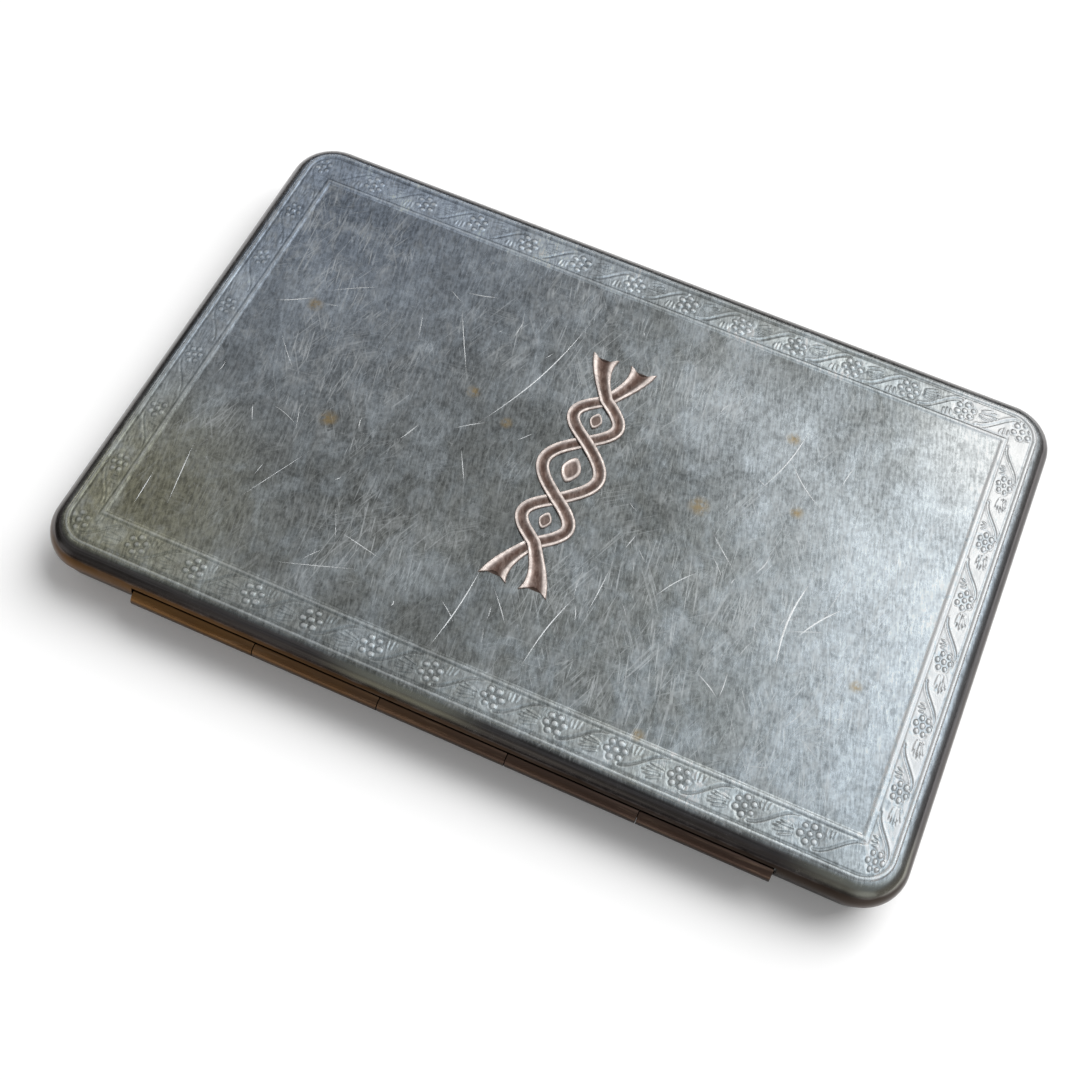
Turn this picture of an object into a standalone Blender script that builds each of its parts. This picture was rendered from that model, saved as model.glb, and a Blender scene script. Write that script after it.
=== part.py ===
"""Slim silver vanity box.

A clam-shell case with a long knuckle hinge on the front edge. The lid holds a framed mirror. The base
holds a pressed tray with a powder pan and puff, and a rouge pan under a cover that swivels on a rivet.
A thumb button on the back edge frees the lid. Lengths are in metres. X runs along the hinge, +Y is the
back, and the origin is the middle of the bottom face.
"""

import math

import bmesh
import bpy
from mathutils import Matrix, Vector

# Case
CASE_LENGTH = 0.108
CASE_WIDTH = 0.072
CORNER_RADIUS = 0.006
SHEET = 0.0007
LID_DEPTH = 0.00285
LID_EDGE_RADIUS = 0.0026
BASE_DEPTH = 0.00485
BASE_EDGE_RADIUS = 0.004
BASE_INSET = 0.0006

# Clearances
SEAM_GAP = 0.0003
FIT_GAP = 0.0003
FACE_GAP = 0.0001
CUT_OVERRUN = 0.002
WELD_DISTANCE = 0.00002

# Hinge
HINGE_END_MARGIN = 0.014
KNUCKLE_RADIUS = 0.0011
KNUCKLE_BORE = 0.00065
PIN_RADIUS = 0.0004
AXIS_INSET = 0.00015
BEARER_WALL = 0.0006

# Bezel that centres the lid
BEZEL_SHEET = 0.0005
BEZEL_HEIGHT = 0.0026
BEZEL_RISE = 0.0011
BEZEL_RETURN_GAP = 0.004

# Mirror in the lid
MIRROR_THICKNESS = 0.001
MIRROR_BEVEL_WIDTH = 0.004
MIRROR_BEVEL_RISE = 0.0003
CARD_THICKNESS = 0.0002
FRAME_WALL = 0.0005
FRAME_LIP_SHEET = 0.0003
FRAME_LIP_WIDTH = 0.0016
FRAME_BEZEL_GAP = 0.0006
FRAME_CORNER_RADIUS = 0.003

# Ornament on the lid
ORNAMENT_LENGTH = 0.0357
ORNAMENT_THICKNESS = 0.00025
ORNAMENT_SHIFT = 0.0007
RIBBON_WIDTH = 0.0014
FLARE_WIDTH = 0.0034
FLARE_NOTCH = 0.0011
MIDDLE_EYE_LENGTH = 0.0092
MIDDLE_EYE_REACH = 0.0038
OUTER_EYE_LENGTH = 0.0068
OUTER_EYE_REACH = 0.0029
FLARE_REACH = 0.0026

# Tray
DECK_SHEET = 0.0005
DECK_RECESS = 0.00035
DECK_CORNER_RADIUS = 0.0035
PAN_SHEET = 0.0004
PAN_RIM_WIDTH = 0.001
PAN_RIM_SHEET = 0.0003
CAKE_EDGE = 0.0003

# Powder
POWDER_PAN_RADIUS = 0.024
POWDER_SIDE_MARGIN = 0.0021
POWDER_DEPTH = 0.0016
POWDER_DISH = 0.0002
POWDER_PUFF_THICKNESS = 0.002
PUFF_CLEARANCE = 0.0005

# Rouge
ROUGE_PAN_RADIUS = 0.013
ROUGE_DEPTH = 0.0018
ROUGE_DISH = 0.00015
ROUGE_PUFF_THICKNESS = 0.0013
ROUGE_BACK_MARGIN = 0.0031
ROUGE_SIDE_MARGIN = 0.0071
COVER_SHEET = 0.0004
COVER_LAP = 0.0015
EAR_REACH = 0.0025
EAR_RADIUS = 0.0024
EAR_DIRECTION = math.radians(-60)
RIVET_SHANK_RADIUS = 0.0008
RIVET_HEAD_RADIUS = 0.0015
RIVET_HEAD_HEIGHT = 0.00025
RIVET_TAIL_HEIGHT = 0.0003
RIVET_CLEARANCE = 0.00025

# Catch
BUTTON_WIDTH = 0.0088
BUTTON_LOW = 0.0022
BUTTON_HEIGHT = 0.0024
BUTTON_REACH = 0.0006
BUTTON_TRAVEL = 0.0009
BUTTON_PAD = 0.00085
BUTTON_EDGE = 0.00025
STEM_HEIGHT = 0.0008
STEM_END = 0.0038
FLANGE_WIDTH = 0.017
FLANGE_SHEET = 0.0006
FLANGE_HEIGHT = 0.0004
HOOK_WIDTH = 0.0048
HOOK_SHEET = 0.0006
TOOTH_HEIGHT = 0.0003
TOOTH_LAP = 0.00045
STRIKE_WIDTH = 0.006
STRIKE_SHEET = 0.0004
STRIKE_LIP_HEIGHT = 0.0003
STRIKE_LIP_WIDTH = 0.0007
STRIKE_FOOT_HEIGHT = 0.00075
SPRING_LENGTH = 0.022
SPRING_SHEET = 0.00025
SPRING_HEIGHT = 0.0007
SPRING_BOW = 0.0006
TAB_WIDTH = 0.002
TAB_HEIGHT = 0.0017

# Shares
FILLET_SHARE = 0.96
PUFF_CROWN_SHARE = 0.67
PUFF_ROUNDING_SHARES = (0.6, 0.9, 0.45)

# Counts
KNUCKLES = 5
CORNER_SEGMENTS = 8
EDGE_SEGMENTS = 5
PAN_STEPS = 64
SMALL_STEPS = 24
RIBBON_POINTS = 15
PUFF_POINTS = 7
SPRING_POINTS = 13

# Heights
LID_RIM_Z = BASE_DEPTH + SEAM_GAP
CASE_HEIGHT = LID_RIM_Z + LID_DEPTH
CEILING_Z = CASE_HEIGHT - SHEET
CARD_TOP_Z = CEILING_Z - FACE_GAP
MIRROR_TOP_Z = CARD_TOP_Z - CARD_THICKNESS - FACE_GAP
MIRROR_FACE_Z = MIRROR_TOP_Z - MIRROR_THICKNESS
FRAME_LIP_Z = MIRROR_FACE_Z - FACE_GAP
FRAME_FACE_Z = FRAME_LIP_Z - FRAME_LIP_SHEET
DECK_TOP_Z = BASE_DEPTH - DECK_RECESS
DECK_FACE_Z = DECK_TOP_Z - DECK_SHEET
PAN_RIM_Z = DECK_TOP_Z + FACE_GAP
PAN_TOP_Z = PAN_RIM_Z + PAN_RIM_SHEET
PAN_LOW_Z = SHEET + FACE_GAP
CAKE_LOW_Z = PAN_LOW_Z + PAN_SHEET + FACE_GAP
COVER_LOW_Z = PAN_TOP_Z + FACE_GAP
COVER_TOP_Z = COVER_LOW_Z + COVER_SHEET

# Hinge places
HINGE_LENGTH = CASE_LENGTH - 2 * HINGE_END_MARGIN
AXIS_Y = AXIS_INSET - CASE_WIDTH / 2
AXIS_Z = BASE_DEPTH + SEAM_GAP / 2
GROOVE_RADIUS = KNUCKLE_RADIUS + FIT_GAP
BEARER_RADIUS = GROOVE_RADIUS + BEARER_WALL
GROOVE_LENGTH = HINGE_LENGTH + 2 * FIT_GAP
BEARER_LENGTH = GROOVE_LENGTH + 2 * BEARER_WALL
BEARER_EDGE_Y = AXIS_Y + BEARER_RADIUS

# Half sizes of what lies inside what, from the walls inwards
BASE_HALF = Vector((CASE_LENGTH / 2 - BASE_INSET, CASE_WIDTH / 2 - BASE_INSET))
BASE_WALL_HALF = BASE_HALF - Vector((SHEET, SHEET))
BEZEL_HALF = BASE_WALL_HALF - Vector((FIT_GAP, FIT_GAP))
BEZEL_INNER_HALF = BEZEL_HALF - Vector((BEZEL_SHEET, BEZEL_SHEET))
FRAME_HALF_LENGTH = BEZEL_INNER_HALF.x - FRAME_BEZEL_GAP
FRAME_BACK_Y = BEZEL_INNER_HALF.y - FRAME_BEZEL_GAP
FRAME_FRONT_Y = BEARER_EDGE_Y + FRAME_BEZEL_GAP
DECK_HALF_LENGTH = BEZEL_INNER_HALF.x - FIT_GAP
DECK_BACK_Y = BEZEL_INNER_HALF.y - FIT_GAP
DECK_FRONT_Y = BEARER_EDGE_Y + FIT_GAP

# Places on the tray
COVER_RADIUS = ROUGE_PAN_RADIUS + COVER_LAP
POWDER_X = POWDER_PAN_RADIUS + PAN_RIM_WIDTH + POWDER_SIDE_MARGIN - DECK_HALF_LENGTH
ROUGE_X = DECK_HALF_LENGTH - ROUGE_SIDE_MARGIN - COVER_RADIUS
ROUGE_Y = DECK_BACK_Y - ROUGE_BACK_MARGIN - COVER_RADIUS
EAR_OFFSET = Vector((math.cos(EAR_DIRECTION), math.sin(EAR_DIRECTION))) * (COVER_RADIUS + EAR_REACH)

# Places of the catch, from the back wall inwards
STRIKE_BACK_Y = BASE_WALL_HALF.y - FIT_GAP
STRIKE_LEG_Y = STRIKE_BACK_Y - STRIKE_SHEET
STRIKE_TIP_Y = STRIKE_LEG_Y - STRIKE_LIP_WIDTH
TOOTH_TIP_Y = STRIKE_TIP_Y + TOOTH_LAP
STRIKE_LOW_Z = DECK_TOP_Z - FACE_GAP / 2
TOOTH_LOW_Z = STRIKE_LOW_Z + STRIKE_LIP_HEIGHT + FIT_GAP
HOOK_TOP_Z = TOOTH_LOW_Z + TOOTH_HEIGHT
STEM_LOW_Z = BUTTON_LOW
STEM_TOP_Z = STEM_LOW_Z + STEM_HEIGHT
PAD_BACK_Y = CASE_WIDTH / 2 + BUTTON_REACH
STEM_FRONT_Y = CASE_WIDTH / 2 - STEM_END
SPRING_BACK_Y = STEM_FRONT_Y - FIT_GAP


def clear_scene():
    """Empties the scene."""
    for old in list(bpy.data.objects):
        bpy.data.objects.remove(old, do_unlink=True)


def make_collection(name):
    """A new collection under the scene's own."""
    made = bpy.data.collections.new(name)
    bpy.context.scene.collection.children.link(made)
    return made


def make_material(name, colour, roughness, metallic):
    """A Principled material."""
    material = bpy.data.materials.new(name)
    material.use_nodes = True
    shader = material.node_tree.nodes["Principled BSDF"]
    shader.inputs["Base Color"].default_value = (*colour, 1)
    shader.inputs["Roughness"].default_value = roughness
    shader.inputs["Metallic"].default_value = metallic
    return material


clear_scene()
PARTS = make_collection("vanity_box")
CUTTERS = make_collection("vanity_box_cutters")
SILVER = make_material("worn_silver", (0.52, 0.54, 0.55), 0.32, 1)
GILT = make_material("gilt", (0.78, 0.58, 0.30), 0.3, 1)
ROSE_GOLD = make_material("rose_gold", (0.48, 0.33, 0.28), 0.35, 1)
STEEL = make_material("spring_steel", (0.35, 0.35, 0.36), 0.3, 1)
GLASS = make_material("mirror_glass", (0.85, 0.87, 0.88), 0.03, 1)
CARD = make_material("backing_card", (0.45, 0.38, 0.28), 0.9, 0)
POWDER = make_material("pressed_powder", (0.86, 0.68, 0.56), 0.95, 0)
ROUGE = make_material("pressed_rouge", (0.62, 0.12, 0.14), 0.9, 0)
VELOUR = make_material("puff_velour", (0.88, 0.78, 0.72), 0.95, 0)


def add_part(name, mesh, material, location=(0, 0, 0), rotation=(0, 0, 0)):
    """An object of the part, with its material, shaded smooth where its faces turn gently."""
    part = bpy.data.objects.new(name, mesh)
    part.location = location
    part.rotation_euler = rotation
    mesh.materials.clear()
    mesh.materials.append(material)
    mesh.shade_smooth()
    mesh.set_sharp_from_angle(angle=math.radians(35))
    PARTS.objects.link(part)
    return part


def add_cutter(name, mesh, location=(0, 0, 0), rotation=(0, 0, 0)):
    """A hidden helper that cuts or joins other objects."""
    cutter = bpy.data.objects.new(name, mesh)
    cutter.location = location
    cutter.rotation_euler = rotation
    cutter.hide_render = True
    cutter.display_type = "WIRE"
    CUTTERS.objects.link(cutter)
    return cutter


def combine(piece, other, operation):
    """A live Boolean of this piece with another object."""
    boolean = piece.modifiers.new(f"{operation.lower()}_{other.name}", "BOOLEAN")
    boolean.operation = operation
    boolean.solver = "EXACT"
    boolean.object = other


def mesh_of(name, shape):
    """A mesh from a bmesh, which it frees."""
    mesh = bpy.data.meshes.new(name)
    shape.to_mesh(mesh)
    shape.free()
    return mesh


def block_mesh(name, low, high, corner_radius=0, low_edge=0, high_edge=0):
    """A box between two corners, with its upright edges rounded, and its lower or upper rim rounded."""
    shape = bmesh.new()
    bmesh.ops.create_cube(shape, size=1)
    low, high = Vector(low), Vector(high)
    size = high - low
    bmesh.ops.scale(shape, verts=shape.verts, vec=size)
    bmesh.ops.translate(shape, verts=shape.verts, vec=(low + high) / 2)
    if corner_radius > 0:
        upright = [edge for edge in shape.edges if abs((edge.verts[0].co - edge.verts[1].co).z) > size.z / 2]
        round_edges(shape, upright, corner_radius, CORNER_SEGMENTS)
    for radius, side in ((low_edge, -1), (high_edge, 1)):
        if radius <= 0:
            continue
        shape.normal_update()
        face = max(shape.faces, key=lambda one: one.normal.z * side * one.calc_area())
        round_edges(shape, list(face.edges), radius, EDGE_SEGMENTS)
    bmesh.ops.recalc_face_normals(shape, faces=shape.faces)
    return mesh_of(name, shape)


def round_edges(shape, edges, radius, segments):
    """Rounds these edges with a circular bevel."""
    bmesh.ops.bevel(
        shape,
        geom=edges,
        offset=radius,
        offset_type="OFFSET",
        segments=segments,
        profile=0.5,
        affect="EDGES",
        clamp_overlap=False,
    )


def rod_mesh(name, radius, length, steps):
    """A cylinder along X, centred on its origin."""
    shape = bmesh.new()
    turn = Matrix.Rotation(math.pi / 2, 4, "Y")
    bmesh.ops.create_cone(
        shape, cap_ends=True, segments=steps, radius1=radius, radius2=radius, depth=length, matrix=turn
    )
    return mesh_of(name, shape)


def disc_mesh(name, radius, low, high, steps):
    """An upright cylinder between two heights."""
    shape = bmesh.new()
    lift = Matrix.Translation((0, 0, (low + high) / 2))
    bmesh.ops.create_cone(
        shape, cap_ends=True, segments=steps, radius1=radius, radius2=radius, depth=high - low, matrix=lift
    )
    return mesh_of(name, shape)


def profile_mesh(name, points, closed):
    """The edges of a profile in the XZ plane, for a Screw modifier."""
    mesh = bpy.data.meshes.new(name)
    count = len(points)
    edges = [(i, (i + 1) % count) for i in range(count if closed else count - 1)]
    mesh.from_pydata([(radius, 0, height) for radius, height in points], edges, [])
    return mesh


def turned(name, points, material, steps, location=(0, 0, 0), rotation=(0, 0, 0), closed=False):
    """A solid of revolution. The profile runs down its outer side."""
    part = bpy.data.objects.new(name, profile_mesh(name, points, closed))
    part.data.materials.append(material)
    part.location = location
    part.rotation_euler = rotation
    PARTS.objects.link(part)
    screw = part.modifiers.new("turn", "SCREW")
    screw.steps = steps
    screw.render_steps = steps
    screw.use_merge_vertices = True
    screw.merge_threshold = WELD_DISTANCE
    screw.use_smooth_shade = True
    return part


def plate_curve(name, outlines, thickness):
    """A flat plate from closed outlines, the first around the others, which are its holes."""
    curve = bpy.data.curves.new(name, "CURVE")
    curve.dimensions = "2D"
    curve.fill_mode = "BOTH"
    curve.extrude = thickness / 2
    for points in outlines:
        spline = curve.splines.new("POLY")
        spline.points.add(len(points) - 1)
        for point, (x, y) in zip(spline.points, points):
            point.co = (x, y, 0, 1)
        spline.use_cyclic_u = True
    return curve


def solid_mesh(name, curve):
    """A welded mesh of a filled curve, with its faces pointing out."""
    holder = bpy.data.objects.new(f"{name}_outline", curve)
    CUTTERS.objects.link(holder)
    graph = bpy.context.evaluated_depsgraph_get()
    mesh = bpy.data.meshes.new_from_object(holder.evaluated_get(graph))
    bpy.data.objects.remove(holder, do_unlink=True)
    shape = bmesh.new()
    shape.from_mesh(mesh)
    bmesh.ops.remove_doubles(shape, verts=shape.verts, dist=WELD_DISTANCE)
    bmesh.ops.recalc_face_normals(shape, faces=shape.faces)
    shape.to_mesh(mesh)
    shape.free()
    mesh.name = name
    return mesh


def circle_points(radius, steps, start=0.0, sweep=2 * math.pi, ends=False):
    """Points around an arc, with its last point only where ends are asked for."""
    last = steps + 1 if ends else steps
    return [
        (radius * math.cos(start + sweep * i / steps), radius * math.sin(start + sweep * i / steps))
        for i in range(last)
    ]


def limited(radius, *walls):
    """A fillet radius, kept under the walls that it rounds."""
    return min(radius, *(FILLET_SHARE * wall for wall in walls))


def base_edge():
    """Radius of the base shell's lower edge."""
    return limited(BASE_EDGE_RADIUS, CORNER_RADIUS - BASE_INSET, BASE_DEPTH)


def base_wall_y(height):
    """Inner face of the base shell's back wall at this height, on its rounded lower part."""
    radius = base_edge() - SHEET
    drop = min(max(SHEET + radius - height, 0), radius)
    return BASE_WALL_HALF.y - radius + math.sqrt(radius**2 - drop**2)


def make_base_shell():
    """Lower shell: a cushion-edged pan, hollowed to its sheet, with the lower half of the hinge bearer."""
    corner = CORNER_RADIUS - BASE_INSET
    edge = base_edge()
    inner_corner = corner - SHEET
    inner_edge = limited(edge - SHEET, inner_corner)
    outer = block_mesh(
        "base_shell", (-BASE_HALF.x, -BASE_HALF.y, 0), (BASE_HALF.x, BASE_HALF.y, BASE_DEPTH), corner, edge
    )
    hollow = block_mesh(
        "base_hollow",
        (-BASE_WALL_HALF.x, -BASE_WALL_HALF.y, SHEET),
        (BASE_WALL_HALF.x, BASE_WALL_HALF.y, BASE_DEPTH + CUT_OVERRUN),
        inner_corner,
        inner_edge,
    )
    shell = add_part("base_shell", outer, SILVER)
    cutter = add_cutter("base_hollow", hollow)
    combine(cutter, BEARER, "DIFFERENCE")
    combine(shell, cutter, "DIFFERENCE")
    combine(shell, GROOVE, "DIFFERENCE")
    notch_half = BUTTON_WIDTH / 2 + FIT_GAP
    notch = block_mesh(
        "button_notch",
        (-notch_half, BASE_WALL_HALF.y - CUT_OVERRUN / 2, BUTTON_LOW - FIT_GAP),
        (notch_half, BASE_HALF.y + CUT_OVERRUN, BASE_DEPTH + CUT_OVERRUN),
    )
    combine(shell, add_cutter("button_notch", notch), "DIFFERENCE")
    return shell


def make_lid_shell():
    """Upper shell: flat top with a quarter-round edge, and the upper half of the hinge bearer."""
    half = Vector((CASE_LENGTH / 2, CASE_WIDTH / 2))
    edge = limited(LID_EDGE_RADIUS, CORNER_RADIUS, LID_DEPTH)
    inner_corner = CORNER_RADIUS - SHEET
    outer = block_mesh(
        "lid_shell",
        (-half.x, -half.y, LID_RIM_Z),
        (half.x, half.y, CASE_HEIGHT),
        CORNER_RADIUS,
        high_edge=edge,
    )
    hollow = block_mesh(
        "lid_hollow",
        (SHEET - half.x, SHEET - half.y, LID_RIM_Z - CUT_OVERRUN),
        (half.x - SHEET, half.y - SHEET, CEILING_Z),
        inner_corner,
        high_edge=limited(edge - SHEET, inner_corner),
    )
    shell = add_part("lid_shell", outer, SILVER)
    cutter = add_cutter("lid_hollow", hollow)
    combine(cutter, BEARER, "DIFFERENCE")
    combine(shell, cutter, "DIFFERENCE")
    combine(shell, GROOVE, "DIFFERENCE")
    return shell


def make_knuckles():
    """Tubes along the hinge axis, by turns of the base and of the lid. Returns both lists."""
    length = (HINGE_LENGTH - (KNUCKLES - 1) * FIT_GAP) / KNUCKLES
    base_names = ("base_knuckle_left", "base_knuckle_centre", "base_knuckle_right")
    lid_names = ("lid_knuckle_left", "lid_knuckle_right")
    section = [
        (KNUCKLE_RADIUS, length / 2),
        (KNUCKLE_RADIUS, -length / 2),
        (KNUCKLE_BORE, -length / 2),
        (KNUCKLE_BORE, length / 2),
    ]
    base, lid = [], []
    for index in range(KNUCKLES):
        middle = (length - HINGE_LENGTH) / 2 + index * (length + FIT_GAP)
        names, group = (lid_names, lid) if index % 2 else (base_names, base)
        place = (middle, AXIS_Y, AXIS_Z)
        along_x = (0, math.pi / 2, 0)
        group.append(turned(names[index // 2], section, SILVER, SMALL_STEPS, place, along_x, closed=True))
    return base, lid


def make_hinge_pin():
    """Wire that runs through all the knuckles."""
    mesh = rod_mesh("hinge_pin", PIN_RADIUS, HINGE_LENGTH - FIT_GAP, SMALL_STEPS)
    return add_part("hinge_pin", mesh, STEEL, (0, AXIS_Y, AXIS_Z))


def make_bezel():
    """Upright liner around three sides of the mouth, with short returns at the hinge side."""
    low_z = BASE_DEPTH + BEZEL_RISE - BEZEL_HEIGHT
    corner = CORNER_RADIUS - BASE_INSET - SHEET - FIT_GAP
    ring = block_mesh(
        "base_bezel",
        (-BEZEL_HALF.x, -BEZEL_HALF.y, low_z),
        (BEZEL_HALF.x, BEZEL_HALF.y, low_z + BEZEL_HEIGHT),
        corner,
    )
    inside = block_mesh(
        "bezel_inside",
        (-BEZEL_INNER_HALF.x, -BEZEL_INNER_HALF.y, low_z - CUT_OVERRUN),
        (BEZEL_INNER_HALF.x, BEZEL_INNER_HALF.y, low_z + BEZEL_HEIGHT + CUT_OVERRUN),
        corner - BEZEL_SHEET,
    )
    front_half = BEARER_LENGTH / 2 + BEZEL_RETURN_GAP
    front = block_mesh(
        "bezel_front_gap",
        (-front_half, -CASE_WIDTH / 2, low_z - CUT_OVERRUN),
        (front_half, BEARER_EDGE_Y + FIT_GAP, low_z + BEZEL_HEIGHT + CUT_OVERRUN),
    )
    notch_half = STRIKE_WIDTH / 2 + FIT_GAP
    notch = block_mesh(
        "bezel_notch",
        (-notch_half, BEZEL_INNER_HALF.y - CUT_OVERRUN, STRIKE_LOW_Z - FIT_GAP),
        (notch_half, CASE_WIDTH / 2, low_z + BEZEL_HEIGHT + CUT_OVERRUN),
    )
    bezel = add_part("base_bezel", ring, SILVER)
    for name, mesh in (("bezel_inside", inside), ("bezel_front_gap", front), ("bezel_notch", notch)):
        combine(bezel, add_cutter(name, mesh), "DIFFERENCE")
    return bezel


def make_mirror_frame():
    """Thin frame in the lid: a wall around the glass and a lip under its edge."""
    outer = block_mesh(
        "mirror_frame",
        (-FRAME_HALF_LENGTH, FRAME_FRONT_Y, FRAME_FACE_Z),
        (FRAME_HALF_LENGTH, FRAME_BACK_Y, CARD_TOP_Z),
        FRAME_CORNER_RADIUS,
    )
    pocket = block_mesh(
        "frame_pocket",
        (FRAME_WALL - FRAME_HALF_LENGTH, FRAME_FRONT_Y + FRAME_WALL, FRAME_LIP_Z),
        (FRAME_HALF_LENGTH - FRAME_WALL, FRAME_BACK_Y - FRAME_WALL, CARD_TOP_Z + CUT_OVERRUN),
        FRAME_CORNER_RADIUS - FRAME_WALL,
    )
    reach = FRAME_WALL + FRAME_LIP_WIDTH
    window = block_mesh(
        "frame_window",
        (reach - FRAME_HALF_LENGTH, FRAME_FRONT_Y + reach, FRAME_FACE_Z - CUT_OVERRUN),
        (FRAME_HALF_LENGTH - reach, FRAME_BACK_Y - reach, CARD_TOP_Z + CUT_OVERRUN),
        limited(FRAME_CORNER_RADIUS - FRAME_LIP_WIDTH, FRAME_CORNER_RADIUS),
    )
    frame = add_part("mirror_frame", outer, SILVER)
    combine(frame, add_cutter("frame_pocket", pocket), "DIFFERENCE")
    combine(frame, add_cutter("frame_window", window), "DIFFERENCE")
    return frame


def make_mirror():
    """Glass plate whose lower face has a wide, shallow bevel around it."""
    reach = FRAME_WALL + FIT_GAP
    low = (reach - FRAME_HALF_LENGTH, FRAME_FRONT_Y + reach, MIRROR_FACE_Z + MIRROR_BEVEL_RISE)
    high = (FRAME_HALF_LENGTH - reach, FRAME_BACK_Y - reach, MIRROR_TOP_Z)
    mesh = block_mesh("mirror", low, high, FRAME_CORNER_RADIUS - reach)
    middle_y = (low[1] + high[1]) / 2
    shape = bmesh.new()
    shape.from_mesh(mesh)
    face = min(shape.faces, key=lambda one: one.normal.z * one.calc_area())
    made = bmesh.ops.extrude_face_region(shape, geom=[face])["geom"]
    for point in (one for one in made if isinstance(one, bmesh.types.BMVert)):
        point.co.x -= math.copysign(MIRROR_BEVEL_WIDTH, point.co.x)
        point.co.y -= math.copysign(MIRROR_BEVEL_WIDTH, point.co.y - middle_y)
        point.co.z -= MIRROR_BEVEL_RISE
    bmesh.ops.delete(shape, geom=[face], context="FACES_ONLY")
    bmesh.ops.recalc_face_normals(shape, faces=shape.faces)
    shape.to_mesh(mesh)
    shape.free()
    return add_part("mirror", mesh, GLASS)


def make_mirror_backing():
    """Card between the glass and the lid."""
    reach = FRAME_WALL + FIT_GAP
    mesh = block_mesh(
        "mirror_backing",
        (reach - FRAME_HALF_LENGTH, FRAME_FRONT_Y + reach, CARD_TOP_Z - CARD_THICKNESS),
        (FRAME_HALF_LENGTH - reach, FRAME_BACK_Y - reach, CARD_TOP_Z),
        FRAME_CORNER_RADIUS - reach,
    )
    return add_part("mirror_backing", mesh, CARD)


def ribbon_path():
    """Half of a ribbon's middle line, from the middle of the ornament to its flared end.

    Each eye is half a wave between two crossings, and the sides change over at each crossing. Returns
    points (across, along) and the ribbon's half width at each.
    """
    path = []
    first_crossing = MIDDLE_EYE_LENGTH / 2
    last_crossing = first_crossing + OUTER_EYE_LENGTH
    end = ORNAMENT_LENGTH / 2
    for i in range(RIBBON_POINTS):
        along = first_crossing * i / RIBBON_POINTS
        across = MIDDLE_EYE_REACH * math.cos(math.pi * along / MIDDLE_EYE_LENGTH)
        path.append((across, along, RIBBON_WIDTH / 2))
    for i in range(RIBBON_POINTS):
        share = i / RIBBON_POINTS
        along = first_crossing + OUTER_EYE_LENGTH * share
        path.append((-OUTER_EYE_REACH * math.sin(math.pi * share), along, RIBBON_WIDTH / 2))
    for i in range(RIBBON_POINTS + 1):
        share = i / RIBBON_POINTS
        along = last_crossing + (end - last_crossing) * share
        width = RIBBON_WIDTH + (FLARE_WIDTH - RIBBON_WIDTH) * share**2
        path.append((FLARE_REACH * math.sin(math.pi / 2 * share), along, width / 2))
    return path


def ribbon_outline(side):
    """Closed outline of one ribbon, with a notch in each flared end."""
    half = ribbon_path()
    whole = [(side * x, -y, w) for x, y, w in reversed(half[1:])] + [(side * x, y, w) for x, y, w in half]
    left, right = [], []
    for i, (x, y, width) in enumerate(whole):
        before = Vector(whole[max(i - 1, 0)][:2])
        after = Vector(whole[min(i + 1, len(whole) - 1)][:2])
        along = (after - before).normalized()
        left.append((x - along.y * width, y + along.x * width))
        right.append((x + along.y * width, y - along.x * width))
    notch_y = ORNAMENT_LENGTH / 2 - FLARE_NOTCH
    return [*right, (side * FLARE_REACH, notch_y), *reversed(left), (side * FLARE_REACH, -notch_y)]


def make_ornament():
    """Two interlaced ribbons with flared ends, applied to the lid."""
    middle = (0, ORNAMENT_SHIFT, CASE_HEIGHT + FACE_GAP + ORNAMENT_THICKNESS / 2)
    pair = []
    for name, side in (("ribbon_right", 1), ("ribbon_left", -1)):
        pair.append(solid_mesh(name, plate_curve(name, [ribbon_outline(side)], ORNAMENT_THICKNESS)))
    ornament = add_part("lid_ornament", pair[0], ROSE_GOLD, middle)
    combine(ornament, add_cutter("second_ribbon", pair[1], middle), "UNION")
    return ornament


def make_deck():
    """Pressed tray plate with two round holes, the rivet's hole, the hook's slot and two turned-down tabs."""
    mesh = block_mesh(
        "tray_deck",
        (-DECK_HALF_LENGTH, DECK_FRONT_Y, DECK_FACE_Z),
        (DECK_HALF_LENGTH, DECK_BACK_Y, DECK_TOP_Z),
        DECK_CORNER_RADIUS,
    )
    deck = add_part("tray_deck", mesh, SILVER)
    low, high = DECK_FACE_Z - CUT_OVERRUN, DECK_TOP_Z + CUT_OVERRUN
    pivot = (ROUGE_X + EAR_OFFSET.x, ROUGE_Y + EAR_OFFSET.y)
    holes = (
        ("powder_hole", POWDER_PAN_RADIUS + FIT_GAP, (POWDER_X, 0), PAN_STEPS),
        ("rouge_hole", ROUGE_PAN_RADIUS + FIT_GAP, (ROUGE_X, ROUGE_Y), PAN_STEPS),
        ("rivet_hole", RIVET_SHANK_RADIUS + RIVET_CLEARANCE, pivot, SMALL_STEPS),
    )
    for name, radius, (x, y), steps in holes:
        combine(deck, add_cutter(name, disc_mesh(name, radius, low, high, steps), (x, y, 0)), "DIFFERENCE")
    slot_half = STRIKE_WIDTH / 2 + FIT_GAP
    slot_front = STEM_FRONT_Y - BUTTON_TRAVEL - FIT_GAP
    slot_back = DECK_BACK_Y + CUT_OVERRUN
    slot = block_mesh("hook_slot", (-slot_half, slot_front, low), (slot_half, slot_back, high))
    combine(deck, add_cutter("hook_slot", slot), "DIFFERENCE")
    tab_back = SPRING_BACK_Y - SPRING_SHEET - SPRING_BOW - FIT_GAP
    for name, side in (("left_tab", -1), ("right_tab", 1)):
        middle = side * (SPRING_LENGTH - TAB_WIDTH) / 2
        tab = block_mesh(
            name,
            (middle - TAB_WIDTH / 2, tab_back - DECK_SHEET, DECK_FACE_Z - TAB_HEIGHT),
            (middle + TAB_WIDTH / 2, tab_back, DECK_TOP_Z - DECK_SHEET / 2),
        )
        combine(deck, add_cutter(name, tab), "UNION")
    return deck


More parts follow.
